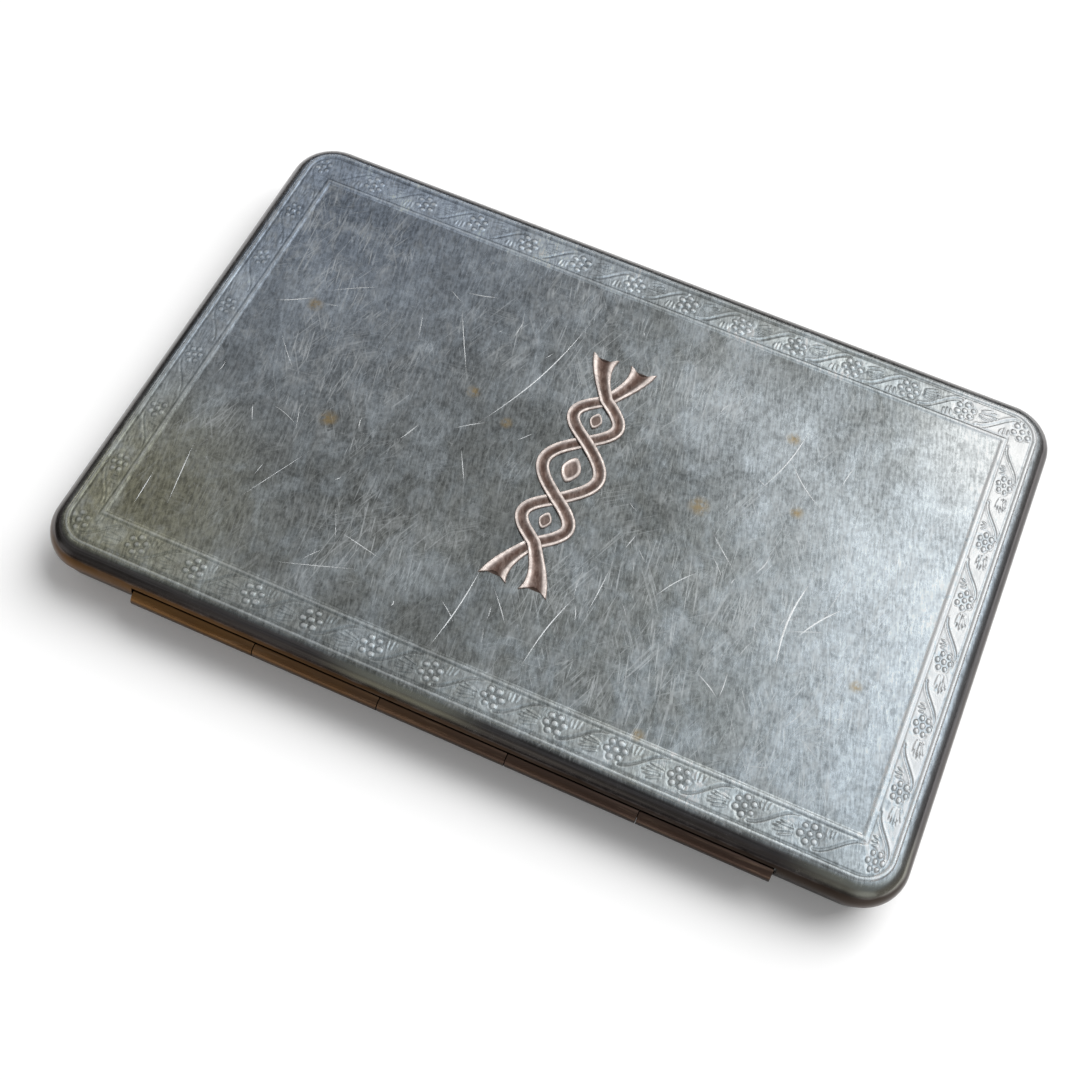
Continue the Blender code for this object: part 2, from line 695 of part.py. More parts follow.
def make_pan(name, radius, x, y):
    """Round pan that hangs in the tray by its rim."""
    inner = radius - PAN_SHEET
    section = [
        (0, PAN_LOW_Z + PAN_SHEET),
        (inner, PAN_LOW_Z + PAN_SHEET),
        (inner, PAN_TOP_Z),
        (radius + PAN_RIM_WIDTH, PAN_TOP_Z),
        (radius + PAN_RIM_WIDTH, PAN_RIM_Z),
        (radius, PAN_RIM_Z),
        (radius, PAN_LOW_Z),
        (0, PAN_LOW_Z),
    ]
    return turned(name, section, GILT, PAN_STEPS, (x, y, 0))


def make_cake(name, pan_radius, depth, dish, material, x, y):
    """Pressed cake of powder with a softened edge and a slight dish."""
    radius = pan_radius - PAN_SHEET - FIT_GAP
    top = CAKE_LOW_Z + depth
    section = [
        (0, top - dish),
        (radius / 2, top - dish / 2),
        (radius - CAKE_EDGE, top),
        (radius, top - CAKE_EDGE),
        (radius, CAKE_LOW_Z),
        (0, CAKE_LOW_Z),
    ]
    return turned(name, section, material, PAN_STEPS, (x, y, 0))


def make_puff(name, pan_radius, cake_depth, thickness, x, y):
    """Round pad: a crown that falls to a drawn-in edge, above a flatter face."""
    radius = pan_radius - PAN_SHEET - PUFF_CLEARANCE
    crown = PUFF_CROWN_SHARE * thickness
    belly = thickness - crown
    waist = CAKE_LOW_Z + cake_depth + FIT_GAP + belly
    across, rise, under = PUFF_ROUNDING_SHARES
    section = []
    for i in range(PUFF_POINTS):
        turn = math.pi / 2 * i / PUFF_POINTS
        section.append((radius * math.sin(turn) ** across, waist + crown * math.cos(turn) ** rise))
    for i in range(PUFF_POINTS + 1):
        turn = math.pi / 2 * i / PUFF_POINTS
        section.append((radius * math.cos(turn) ** under, waist - belly * math.sin(turn)))
    section[0] = (0, waist + crown)
    section[-1] = (0, waist - belly)
    return turned(name, section, VELOUR, PAN_STEPS, (x, y, 0))


def make_rouge_cover():
    """Flat round cover with an ear around its pivot. Its origin is on the rivet."""
    ear = EAR_OFFSET
    reach = ear.length
    outward = math.atan2(ear.y, ear.x)
    lean = math.acos((COVER_RADIUS - EAR_RADIUS) / reach)
    disc_arc = circle_points(COVER_RADIUS, PAN_STEPS, outward + lean, 2 * (math.pi - lean), ends=True)
    ear_arc = circle_points(EAR_RADIUS, SMALL_STEPS, outward - lean, 2 * lean, ends=True)
    outline = [(x - ear.x, y - ear.y) for x, y in disc_arc] + ear_arc
    hole = circle_points(RIVET_SHANK_RADIUS + RIVET_CLEARANCE, SMALL_STEPS)
    mesh = solid_mesh("rouge_cover", plate_curve("rouge_cover", [outline, hole], COVER_SHEET))
    middle_z = (COVER_LOW_Z + COVER_TOP_Z) / 2
    return add_part("rouge_cover", mesh, SILVER, (ROUGE_X + ear.x, ROUGE_Y + ear.y, middle_z))


def make_rivet():
    """Shouldered rivet through the tray and the cover's ear."""
    place = (ROUGE_X + EAR_OFFSET.x, ROUGE_Y + EAR_OFFSET.y, 0)
    shoulder_low = DECK_TOP_Z + FACE_GAP
    head_low = COVER_TOP_Z + FACE_GAP
    tail_high = DECK_FACE_Z - FACE_GAP
    section = [
        (0, head_low + RIVET_HEAD_HEIGHT),
        (RIVET_HEAD_RADIUS / 2, head_low + RIVET_HEAD_HEIGHT),
        (RIVET_HEAD_RADIUS, head_low + RIVET_HEAD_HEIGHT / 2),
        (RIVET_HEAD_RADIUS, head_low),
        (RIVET_SHANK_RADIUS, head_low),
        (RIVET_SHANK_RADIUS, COVER_LOW_Z - FACE_GAP),
        (RIVET_HEAD_RADIUS, COVER_LOW_Z - FACE_GAP),
        (RIVET_HEAD_RADIUS, shoulder_low),
        (RIVET_SHANK_RADIUS, shoulder_low),
        (RIVET_SHANK_RADIUS, tail_high),
        (RIVET_HEAD_RADIUS, tail_high),
        (RIVET_HEAD_RADIUS, tail_high - RIVET_TAIL_HEIGHT),
        (0, tail_high - RIVET_TAIL_HEIGHT),
    ]
    return turned("rouge_cover_rivet", section, SILVER, SMALL_STEPS, place)


def make_button():
    """Thumb button: outer pad, stem through the wall, stop flange, and a hook with an outward tooth."""
    pad_front = PAD_BACK_Y - BUTTON_PAD
    half = BUTTON_WIDTH / 2
    pad = block_mesh(
        "push_button", (-half, pad_front, BUTTON_LOW), (half, PAD_BACK_Y, BUTTON_LOW + BUTTON_HEIGHT)
    )
    shape = bmesh.new()
    shape.from_mesh(pad)
    outer = max(shape.faces, key=lambda one: one.normal.y)
    round_edges(shape, list(outer.edges), BUTTON_EDGE, 3)
    shape.to_mesh(pad)
    shape.free()
    button = add_part("push_button", pad, SILVER)
    flange_low = STEM_TOP_Z - FLANGE_HEIGHT
    flange_back = base_wall_y(flange_low) - FIT_GAP
    boxes = {
        "button_stem": ((-half, STEM_FRONT_Y, STEM_LOW_Z), (half, pad_front + BUTTON_PAD / 2, STEM_TOP_Z)),
        "button_flange": (
            (-FLANGE_WIDTH / 2, flange_back - FLANGE_SHEET, flange_low),
            (FLANGE_WIDTH / 2, flange_back, STEM_TOP_Z),
        ),
        "button_hook": (
            (-HOOK_WIDTH / 2, STEM_FRONT_Y, STEM_LOW_Z),
            (HOOK_WIDTH / 2, STEM_FRONT_Y + HOOK_SHEET, HOOK_TOP_Z),
        ),
        "button_tooth": (
            (-HOOK_WIDTH / 2, STEM_FRONT_Y, TOOTH_LOW_Z),
            (HOOK_WIDTH / 2, TOOTH_TIP_Y, HOOK_TOP_Z),
        ),
    }
    for name, (low, high) in boxes.items():
        combine(button, add_cutter(name, block_mesh(name, low, high)), "UNION")
    return button


def make_strike():
    """Catch plate in the lid: a foot at the wall, a leg and the lip that the hook holds."""
    foot_low = LID_RIM_Z + FIT_GAP
    foot_back = CASE_WIDTH / 2 - SHEET - FIT_GAP
    section = [
        (STRIKE_TIP_Y, STRIKE_LOW_Z),
        (STRIKE_BACK_Y, STRIKE_LOW_Z),
        (STRIKE_BACK_Y, foot_low),
        (foot_back, foot_low),
        (foot_back, foot_low + STRIKE_FOOT_HEIGHT),
        (STRIKE_LEG_Y, foot_low + STRIKE_FOOT_HEIGHT),
        (STRIKE_LEG_Y, STRIKE_LOW_Z + STRIKE_LIP_HEIGHT),
        (STRIKE_TIP_Y, STRIKE_LOW_Z + STRIKE_LIP_HEIGHT),
    ]
    mesh = solid_mesh("catch_strike", plate_curve("catch_strike", [section], STRIKE_WIDTH))
    return add_part("catch_strike", mesh, SILVER, rotation=(math.pi / 2, 0, math.pi / 2))


def make_catch_spring():
    """Bowed leaf that presses the button outwards, with its ends against the tray's tabs."""
    mesh = bpy.data.meshes.new("catch_spring")
    low = STEM_LOW_Z
    high = low + SPRING_HEIGHT
    points = []
    for i in range(SPRING_POINTS):
        share = 2 * i / (SPRING_POINTS - 1) - 1
        y = SPRING_BACK_Y - SPRING_BOW * share * share
        points += [(share * SPRING_LENGTH / 2, y, low), (share * SPRING_LENGTH / 2, y, high)]
    faces = [(2 * i, 2 * i + 1, 2 * i + 3, 2 * i + 2) for i in range(SPRING_POINTS - 1)]
    mesh.from_pydata(points, [], faces)
    spring = add_part("catch_spring", mesh, STEEL)
    solidify = spring.modifiers.new("leaf", "SOLIDIFY")
    solidify.thickness = SPRING_SHEET
    solidify.offset = -1
    return spring


def hang(pieces, empty_name, place):
    """Parents pieces to an empty on their joint's axis, and leaves them where they are."""
    empty = bpy.data.objects.new(empty_name, None)
    empty.location = place
    PARTS.objects.link(empty)
    for piece in pieces:
        piece.parent = empty
        piece.matrix_parent_inverse = Matrix.Translation(-Vector(place))


def hinge_rod(name, radius, length):
    """A cutter along the hinge axis."""
    return add_cutter(name, rod_mesh(name, radius, length, 2 * SMALL_STEPS), (0, AXIS_Y, AXIS_Z))


BEARER = hinge_rod("hinge_bearer", BEARER_RADIUS, BEARER_LENGTH)
GROOVE = hinge_rod("hinge_groove", GROOVE_RADIUS, GROOVE_LENGTH)


def main():
    """Builds the base, the tray and its fittings, the catch and the lid."""
    make_base_shell()
    make_bezel()
    _, lid_knuckles = make_knuckles()
    make_hinge_pin()
    make_deck()
    make_pan("powder_pan", POWDER_PAN_RADIUS, POWDER_X, 0)
    make_cake("powder_cake", POWDER_PAN_RADIUS, POWDER_DEPTH, POWDER_DISH, POWDER, POWDER_X, 0)
    make_puff("powder_puff", POWDER_PAN_RADIUS, POWDER_DEPTH, POWDER_PUFF_THICKNESS, POWDER_X, 0)
    make_pan("rouge_pan", ROUGE_PAN_RADIUS, ROUGE_X, ROUGE_Y)
    make_cake("rouge_cake", ROUGE_PAN_RADIUS, ROUGE_DEPTH, ROUGE_DISH, ROUGE, ROUGE_X, ROUGE_Y)
    make_puff("rouge_puff", ROUGE_PAN_RADIUS, ROUGE_DEPTH, ROUGE_PUFF_THICKNESS, ROUGE_X, ROUGE_Y)
    make_rouge_cover()
    make_rivet()
    make_catch_spring()
    button = make_button()
    hang([button], "button_travel", (0, PAD_BACK_Y, STEM_LOW_Z))
    lid = [make_lid_shell(), make_ornament(), make_strike()]
    mirror = [make_mirror_frame(), make_mirror(), make_mirror_backing()]
    hang(lid + mirror + lid_knuckles, "lid_axis", (0, AXIS_Y, AXIS_Z))


main()
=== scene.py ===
import logging
import math
from dataclasses import dataclass
from enum import Enum
from typing import Sequence

import bmesh
import bpy
import numpy as np
from mathutils import Matrix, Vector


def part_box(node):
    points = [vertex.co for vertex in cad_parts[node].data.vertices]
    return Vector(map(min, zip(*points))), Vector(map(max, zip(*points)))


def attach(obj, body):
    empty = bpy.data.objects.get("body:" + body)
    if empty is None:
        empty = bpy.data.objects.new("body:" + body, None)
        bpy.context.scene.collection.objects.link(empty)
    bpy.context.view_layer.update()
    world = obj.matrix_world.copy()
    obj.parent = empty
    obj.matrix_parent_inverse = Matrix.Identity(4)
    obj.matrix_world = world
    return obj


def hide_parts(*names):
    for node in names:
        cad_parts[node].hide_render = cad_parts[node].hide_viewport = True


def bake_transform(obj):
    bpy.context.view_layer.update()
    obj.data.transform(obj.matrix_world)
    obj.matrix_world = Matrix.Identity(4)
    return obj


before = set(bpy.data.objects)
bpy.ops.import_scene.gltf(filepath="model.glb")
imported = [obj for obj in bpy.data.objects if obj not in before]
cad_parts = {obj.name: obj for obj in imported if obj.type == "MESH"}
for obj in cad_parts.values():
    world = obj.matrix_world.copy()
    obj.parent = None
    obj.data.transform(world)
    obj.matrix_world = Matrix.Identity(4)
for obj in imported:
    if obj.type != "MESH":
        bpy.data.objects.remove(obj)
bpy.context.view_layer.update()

MM = 0.001
LEAST_CORNER = 0.15
LOG = logging.getLogger("vanity_box")

Array = np.ndarray
Colour = tuple[float, float, float]
Material = bpy.types.Material
Piece = bpy.types.Object
Socket = bpy.types.NodeSocket


class Body(Enum):
    """The moving bodies of the case."""

    BASE = "base"
    LID = "lid"
    COVER = "rouge_cover"
    BUTTON = "push_button"


class Slot(Enum):
    """The record's material slots of the scene's own pieces."""

    SILVER = "silver"
    ROSE_GOLD = "rose_gold"
    GILT = "gilt"
    STEEL = "spring_steel"
    VELOUR = "velour"


# Shapes. Lengths are in millimetres.


def bell(away: Array, width: float) -> Array:
    """A bell curve of a distance: e to the power of minus the square of distance over width."""
    return np.exp(-((away / width) ** 2))


def ramp(value: Array, start: float, width: float) -> Array:
    """Rises evenly from 0 at the start to 1 after the width, and is held at both."""
    return np.clip((value - start) / width, 0, 1)


def polar(reach: Array, turn: Array, height: Array) -> Array:
    """Points at a reach and a turn about Z and at a height: reach times the cosine and sine of the turn."""
    return np.stack(np.broadcast_arrays(reach * np.cos(turn), reach * np.sin(turn), height), -1)


def revolved(profile: Array, steps: int) -> Array:
    """Rings of a profile turned about Z. The profile's points are radius and height, lowest first."""
    radius, height = np.asarray(profile, float).T[..., None]
    return polar(radius, np.linspace(0, 2 * np.pi, steps, endpoint=False), height)


def arc(middle: tuple[float, float], radius: float, start: float, sweep: float, steps: int) -> Array:
    """Points of an arc in a profile: its middle plus radius times the cosine and sine of the angle.

    Args:
        middle: the arc's middle.
        radius: its radius.
        start: first angle in degrees.
        sweep: angle covered in degrees.
        steps: number of steps.

    Returns:
        Array of points.
    """
    turn = np.radians(np.linspace(start, start + sweep, steps + 1))
    return np.asarray(middle) + radius * np.stack([np.cos(turn), np.sin(turn)], -1)


def rounded_rings(
    half: Sequence[float], radius: float, profile: Array, arc_steps: int, side_steps: int
) -> Array:
    """Rings of a rounded rectangle: each is moved inwards by its offset, and its corner radius shrinks too.

    A corner's points are its centre plus the radius times the cosine and sine of 0 to 90 degrees, and a
    side's points divide the line between two corners evenly.

    Args:
        half: half length and half width of the outline.
        radius: corner radius of the outline.
        profile: for each ring how far it lies inside the outline, and its height.
        arc_steps: steps in each corner.
        side_steps: steps along each side.

    Returns:
        Array of rings, points and x, y, z.
    """
    offsets, heights = np.asarray(profile, float).T
    corner = np.maximum(radius - offsets, LEAST_CORNER)
    centres = (np.asarray(half) - offsets[:, None]) - corner[:, None]
    angles = np.linspace(0, np.pi / 2, arc_steps + 1)
    corners = []
    for number, signs in enumerate(((1, 1), (-1, 1), (-1, -1), (1, -1))):
        turn = angles + number * np.pi / 2
        arcs = corner[:, None, None] * np.stack([np.cos(turn), np.sin(turn)], -1)
        corners.append((np.array(signs) * centres)[:, None] + arcs)
    share = np.linspace(0, 1, side_steps + 1)[1:-1][None, :, None]
    ring = []
    for here, following in zip(corners, corners[1:] + corners[:1]):
        ring += [here, here[:, -1:] * (1 - share) + following[:, :1] * share]
    flat = np.concatenate(ring, 1)
    return np.concatenate([flat, np.broadcast_to(heights[:, None, None], (*flat.shape[:2], 1))], -1)


def smooth(mesh: bpy.types.Mesh, sharp: float = 35.0) -> None:
    """Shades a mesh smooth, but for edges steeper than an angle in degrees."""
    mesh.shade_smooth()
    mesh.set_sharp_from_angle(angle=math.radians(sharp))


def placed(mesh: bpy.types.Mesh, sharp: float = 35.0) -> Piece:
    """Puts a mesh into the scene.

    Args:
        mesh: the mesh.
        sharp: edges steeper than this many degrees stay sharp.

    Returns:
        The new object, of the mesh's name.
    """
    piece = bpy.data.objects.new(mesh.name, mesh)
    bpy.context.scene.collection.objects.link(piece)
    smooth(mesh, sharp)
    return piece


class Shell:
    """Points and faces of one piece, gathered surface by surface."""

    def __init__(self) -> None:
        """Starts with no points."""
        self.points: list[Array] = []
        self.faces: list[Array] = []
        self.count = 0

    def add(self, points: Array) -> Array:
        """Adds points.

        Args:
            points: array whose last axis is x, y, z.

        Returns:
            The point numbers, in the same layout.
        """
        numbers = self.count + np.arange(points.size // 3).reshape(points.shape[:-1])
        self.points.append(points.reshape(-1, 3))
        self.count += points.size // 3
        return numbers

    def skin(self, numbers: Array, close_rows: bool = False, close_columns: bool = False) -> None:
        """Joins a grid of point numbers with four-sided faces, wound down the rows and then along them.

        Args:
            numbers: two-dimensional array of point numbers.
            close_rows: also joins the last row to the first.
            close_columns: also joins the last column to the first.
        """
        if close_rows:
            numbers = np.vstack([numbers, numbers[:1]])
        if close_columns:
            numbers = np.hstack([numbers, numbers[:, :1]])
        corners = (numbers[:-1, :-1], numbers[1:, :-1], numbers[1:, 1:], numbers[:-1, 1:])
        self.faces.append(np.stack(corners, -1).reshape(-1, 4))

    def cap(self, ring: Array) -> None:
        """Closes a ring of point numbers, counter-clockwise seen from outside, with one flat face."""
        self.faces.append(np.asarray(ring).reshape(1, -1))

    def loft(self, rings: Array) -> None:
        """Adds a closed solid through rings that all turn the same way.

        Args:
            rings: array of levels, points and x, y, z.
        """
        numbers = self.add(rings)
        self.skin(numbers[::-1], close_columns=True)
        self.cap(numbers[0][::-1])
        self.cap(numbers[-1])

    def piece(self, name: str, sharp: float = 35.0) -> Piece:
        """Writes what was gathered into an object and turns it outwards.

        A closed surface faces outwards where the sum of each face's middle times its area vector is positive.

        Args:
            name: the object's name.
            sharp: edges steeper than this many degrees stay sharp.

        Returns:
            The object, its mesh in metres.
        """
        points = np.concatenate(self.points) * MM
        loops = np.concatenate([block.ravel() for block in self.faces])
        sizes = np.concatenate([np.full(len(block), block.shape[1]) for block in self.faces])
        starts = np.concatenate([[0], np.cumsum(sizes)[:-1]])
        mesh = bpy.data.meshes.new(name)
        for part, key, values in (
            (mesh.vertices, "co", points.astype(np.float32)),
            (mesh.loops, "vertex_index", loops.astype(np.int32)),
            (mesh.polygons, "loop_start", starts.astype(np.int32)),
        ):
            part.add(len(values))
            part.foreach_set(key, values.ravel())
        mesh.update(calc_edges=True)
        mesh.validate()
        values = np.empty((2, len(mesh.polygons), 3), np.float32)
        areas = np.empty(len(mesh.polygons), np.float32)
        mesh.polygons.foreach_get("center", values[0].reshape(-1))
        mesh.polygons.foreach_get("normal", values[1].reshape(-1))
        mesh.polygons.foreach_get("area", areas)
        if float((values[0] * values[1] * areas[:, None]).sum(dtype=float)) < 0:
            mesh.flip_normals()
        return placed(mesh, sharp)


def solid(name: str, rings: Array, sharp: float = 35.0) -> Piece:
    """One closed solid through rings.

    Args:
        name: its name.
        rings: array of levels, points and x, y, z.
        sharp: edges steeper than this many degrees stay sharp.

    Returns:
        The object.
    """
    shell = Shell()
    shell.loft(rings)
    return shell.piece(name, sharp)


def node_box(node: str) -> tuple[Array, Array]:
    """Lowest and highest corner of a CAD node, in millimetres."""
    low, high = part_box(node)
    return np.array(low) / MM, np.array(high) / MM


def store_values(piece: Piece, name: str, *values: Array) -> None:
    """Keeps one value for each point of a piece under a name, for its material."""
    layer = piece.data.attributes.new(name, "FLOAT", "POINT")
    layer.data.foreach_set("value", np.concatenate([np.ravel(part) for part in values]).astype(np.float32))


def piece_points(piece: Piece) -> Array:
    """The points of a piece, one row each.

    Args:
        piece: the piece.

    Returns:
        Array of x, y, z.
    """
    points = np.empty(len(piece.data.vertices) * 3, np.float32)
    piece.data.vertices.foreach_get("co", points)
    return points.reshape(-1, 3).astype(float) / MM


def cut(piece: Piece, tools: Sequence[Piece]) -> Piece:
    """Takes helper solids away from a piece, and then removes them.

    Args:
        piece: the piece.
        tools: the helper solids.

    Returns:
        The same piece with its new mesh.
    """
    for tool in tools:
        boolean = piece.modifiers.new(tool.name, "BOOLEAN")
        boolean.object, boolean.operation, boolean.solver = tool, "DIFFERENCE", "MANIFOLD"
    graph = bpy.context.evaluated_depsgraph_get()
    mesh = bpy.data.meshes.new_from_object(piece.evaluated_get(graph))
    piece.modifiers.clear()
    old, piece.data = piece.data, mesh
    bpy.data.meshes.remove(old)
    smooth(mesh)
    for tool in tools:
        bpy.data.objects.remove(tool, do_unlink=True)
    return piece


def dress(mesh: bpy.types.Mesh, material: Material) -> None:
    """Gives a mesh its only material."""
    mesh.materials.clear()
    mesh.materials.append(material)


def finish_piece(piece: Piece, material: Material, body: Body, stands_for: str = "") -> None:
    """Dresses a piece and hangs it on its body.

    Args:
        piece: the piece.
        material: its material.
        body: the body that it moves with.
        stands_for: the CAD node that it replaces, if any.
    """
    dress(piece.data, material)
    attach(piece, body.value)
    if stands_for:
        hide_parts(stands_for)
    LOG.info("%s: %d faces on %s", piece.name, len(piece.data.polygons), body.value)


def dress_node(node: str, material: Material) -> None:
    """Gives a CAD node that stays visible its material."""
    dress(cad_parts[node].data, material)
    LOG.info("%s dressed", node)


# Materials


class Wire:
    """A node's output that formulas can add, subtract and multiply."""

    def __init__(self, nodes: "Nodes", socket: Socket) -> None:
        """Keeps the socket and its node tree."""
        self.nodes, self.socket = nodes, socket

    def __add__(self, other: object) -> "Wire":
        """The sum."""
        return self.nodes.math("ADD", self, other)

    def __mul__(self, other: object) -> "Wire":
        """The product."""
        return self.nodes.math("MULTIPLY", self, other)

    def __sub__(self, other: object) -> "Wire":
        """This less another."""
        return self.nodes.math("SUBTRACT", self, other)

    def __rsub__(self, other: object) -> "Wire":
        """Another less this."""
        return self.nodes.math("SUBTRACT", other, self)

    __radd__, __rmul__ = __add__, __mul__

    def over(self, low: float, high: float, new_low: float = 0.0, new_high: float = 1.0) -> "Wire":
        """Moves the value smoothly from one range to another, and holds it there."""
        return self.nodes.remap(self, low, high, new_low, new_high)


class Nodes:
    """A node tree, written as short formulas."""

    def __init__(self, owner: bpy.types.ID) -> None:
        """Opens the tree of a material or a world."""
        owner.use_nodes = True
        self.tree = owner.node_tree

    def feed(self, socket: Socket, value: object) -> None:
        """Links an input to a wire, or sets it.

        Args:
            socket: the input.
            value: a wire, a number, a vector or a colour.
        """
        if isinstance(value, Wire):
            self.tree.links.new(value.socket, socket)
        else:
            socket.default_value = (*value, 1) if socket.type == "RGBA" else value

    def node(self, kind: str, inputs: dict[object, object], output: object = 0, **settings: object) -> Wire:
        """Adds a node.

        Args:
            kind: its type, without the prefix.
            inputs: values by the name or number of the input.
            output: name or number of the output that is wanted.
            settings: the node's own settings.

        Returns:
            The output.
        """
        node = self.tree.nodes.new(f"ShaderNode{kind}")
        for key, value in settings.items():
            setattr(node, key, value)
        for key, value in inputs.items():
            self.feed(node.inputs[key], value)
        return Wire(self, node.outputs[output])

    def math(self, operation: str, first: object, second: object = 0.0) -> Wire:
        """One step of arithmetic on numbers."""
        return self.node("Math", {0: first, 1: second}, operation=operation)

    def remap(self, value: object, low: float, high: float, new_low: float, new_high: float) -> Wire:
        """Moves a value smoothly from one range to another, and holds it there."""
        ranges = {"From Min": low, "From Max": high, "To Min": new_low, "To Max": new_high}
        return self.node("MapRange", {"Value": value, **ranges}, "Result", interpolation_type="SMOOTHSTEP")


class Recipe(Nodes):
    """A procedural material. Places are in millimetres on the resting object."""

    def __init__(self, name: str) -> None:
        """Makes the material and its object coordinates.

        Args:
            name: its name.
        """
        self.material = bpy.data.materials.new(name)
        super().__init__(self.material)
        self.shader = self.tree.nodes["Principled BSDF"]
        place = self.node("TexCoord", {}, "Object")
        self.place = self.node("VectorMath", {0: place, "Scale": 1 / MM}, operation="SCALE")

    def axis(self, index: int) -> Wire:
        """One coordinate of the place."""
        return self.node("SeparateXYZ", {0: self.place}, index)

    def noise(
        self, scale: float, detail: float, rough: float = 0.5, stir: float = 0, place: Wire | None = None
    ) -> Wire:
        """Noise from 0 to 1.

        Args:
            scale: features per millimetre.
            detail: number of octaves.
            rough: strength of the finer octaves.
            stir: how far it is distorted.
            place: where it is read, if not at the object's own coordinates.

        Returns:
            The noise.
        """
        inputs = {"Scale": scale, "Detail": detail, "Roughness": rough, "Distortion": stir}
        return self.node("TexNoise", {"Vector": place or self.place, **inputs}, "Fac")

    def grain(
        self, turn: float, scale: Colour, detail: float, rough: float = 0.5, stir: float = 0,
        shift: Sequence[float] = (0, 0, 0),
    ) -> Wire:
        """Noise turned about Z and then stretched, for brushed and scratched patterns.

        Args:
            turn: turn in degrees.
            scale: features per millimetre along each axis after the turn.
            detail: number of octaves.
            rough: strength of the finer octaves.
            stir: how far it is distorted.
            shift: move that keeps two patterns apart.

        Returns:
            The noise.
        """
        rotation = (0, 0, math.radians(turn))
        turned = self.node("Mapping", {"Vector": self.place, "Location": shift, "Rotation": rotation})
        place = self.node("VectorMath", {0: turned, 1: scale}, operation="MULTIPLY")
        return self.noise(1.0, detail, rough, stir, place)

    def mix(self, share: object, first: object, second: object, way: str = "MIX") -> Wire:
        """Mixes two colours.

        Args:
            share: how much of the second.
            first: first colour.
            second: second colour.
            way: the blend type.

        Returns:
            The colour.
        """
        return self.node("Mix", {0: share, 6: first, 7: second}, 2, data_type="RGBA", blend_type=way)

    def near(self, spot: Sequence[float], radius: float, edge: float) -> Wire:
        """A round patch: 1 within its radius, and 0 beyond its soft edge."""
        away = self.node("VectorMath", {0: self.place, 1: spot}, "Value", operation="DISTANCE")
        return away.over(radius, radius + edge, 1, 0)

    def attribute(self, name: str) -> Wire:
        """A value stored on the piece's points, 0 where a piece has none."""
        return self.node("Attribute", {}, "Fac", attribute_name=name)

    def shade(self, colour: object, lightness: Wire) -> Wire:
        """A colour times a lightness."""
        grey = self.node("CombineXYZ", {0: lightness, 1: lightness, 2: lightness})
        return self.mix(1.0, colour, grey, "MULTIPLY")

    def bump(self, height: Wire, depth: float, strength: float = 1.0) -> None:
        """Adds relief to the shader's normal, as deep in millimetres as a full step of the height."""
        normal = self.node("Bump", {"Strength": strength, "Distance": depth * MM, "Height": height}, "Normal")
        self.feed(self.shader.inputs["Normal"], normal)

    def finish(self, colour: object, roughness: object, metallic: object, **others: object) -> Material:
        """Sets the shader's inputs.

        Args:
            colour: base colour.
            roughness: number or wire.
            metallic: 1 for metal and 0 otherwise, or a wire.
            others: more inputs, their names in lower case with underscores.

        Returns:
            The material.
        """
        inputs = {"base_color": colour, "roughness": roughness, "metallic": metallic, **others}
        for key, value in inputs.items():
            self.feed(self.shader.inputs[key.replace("_", " ").title()], value)
        return self.material


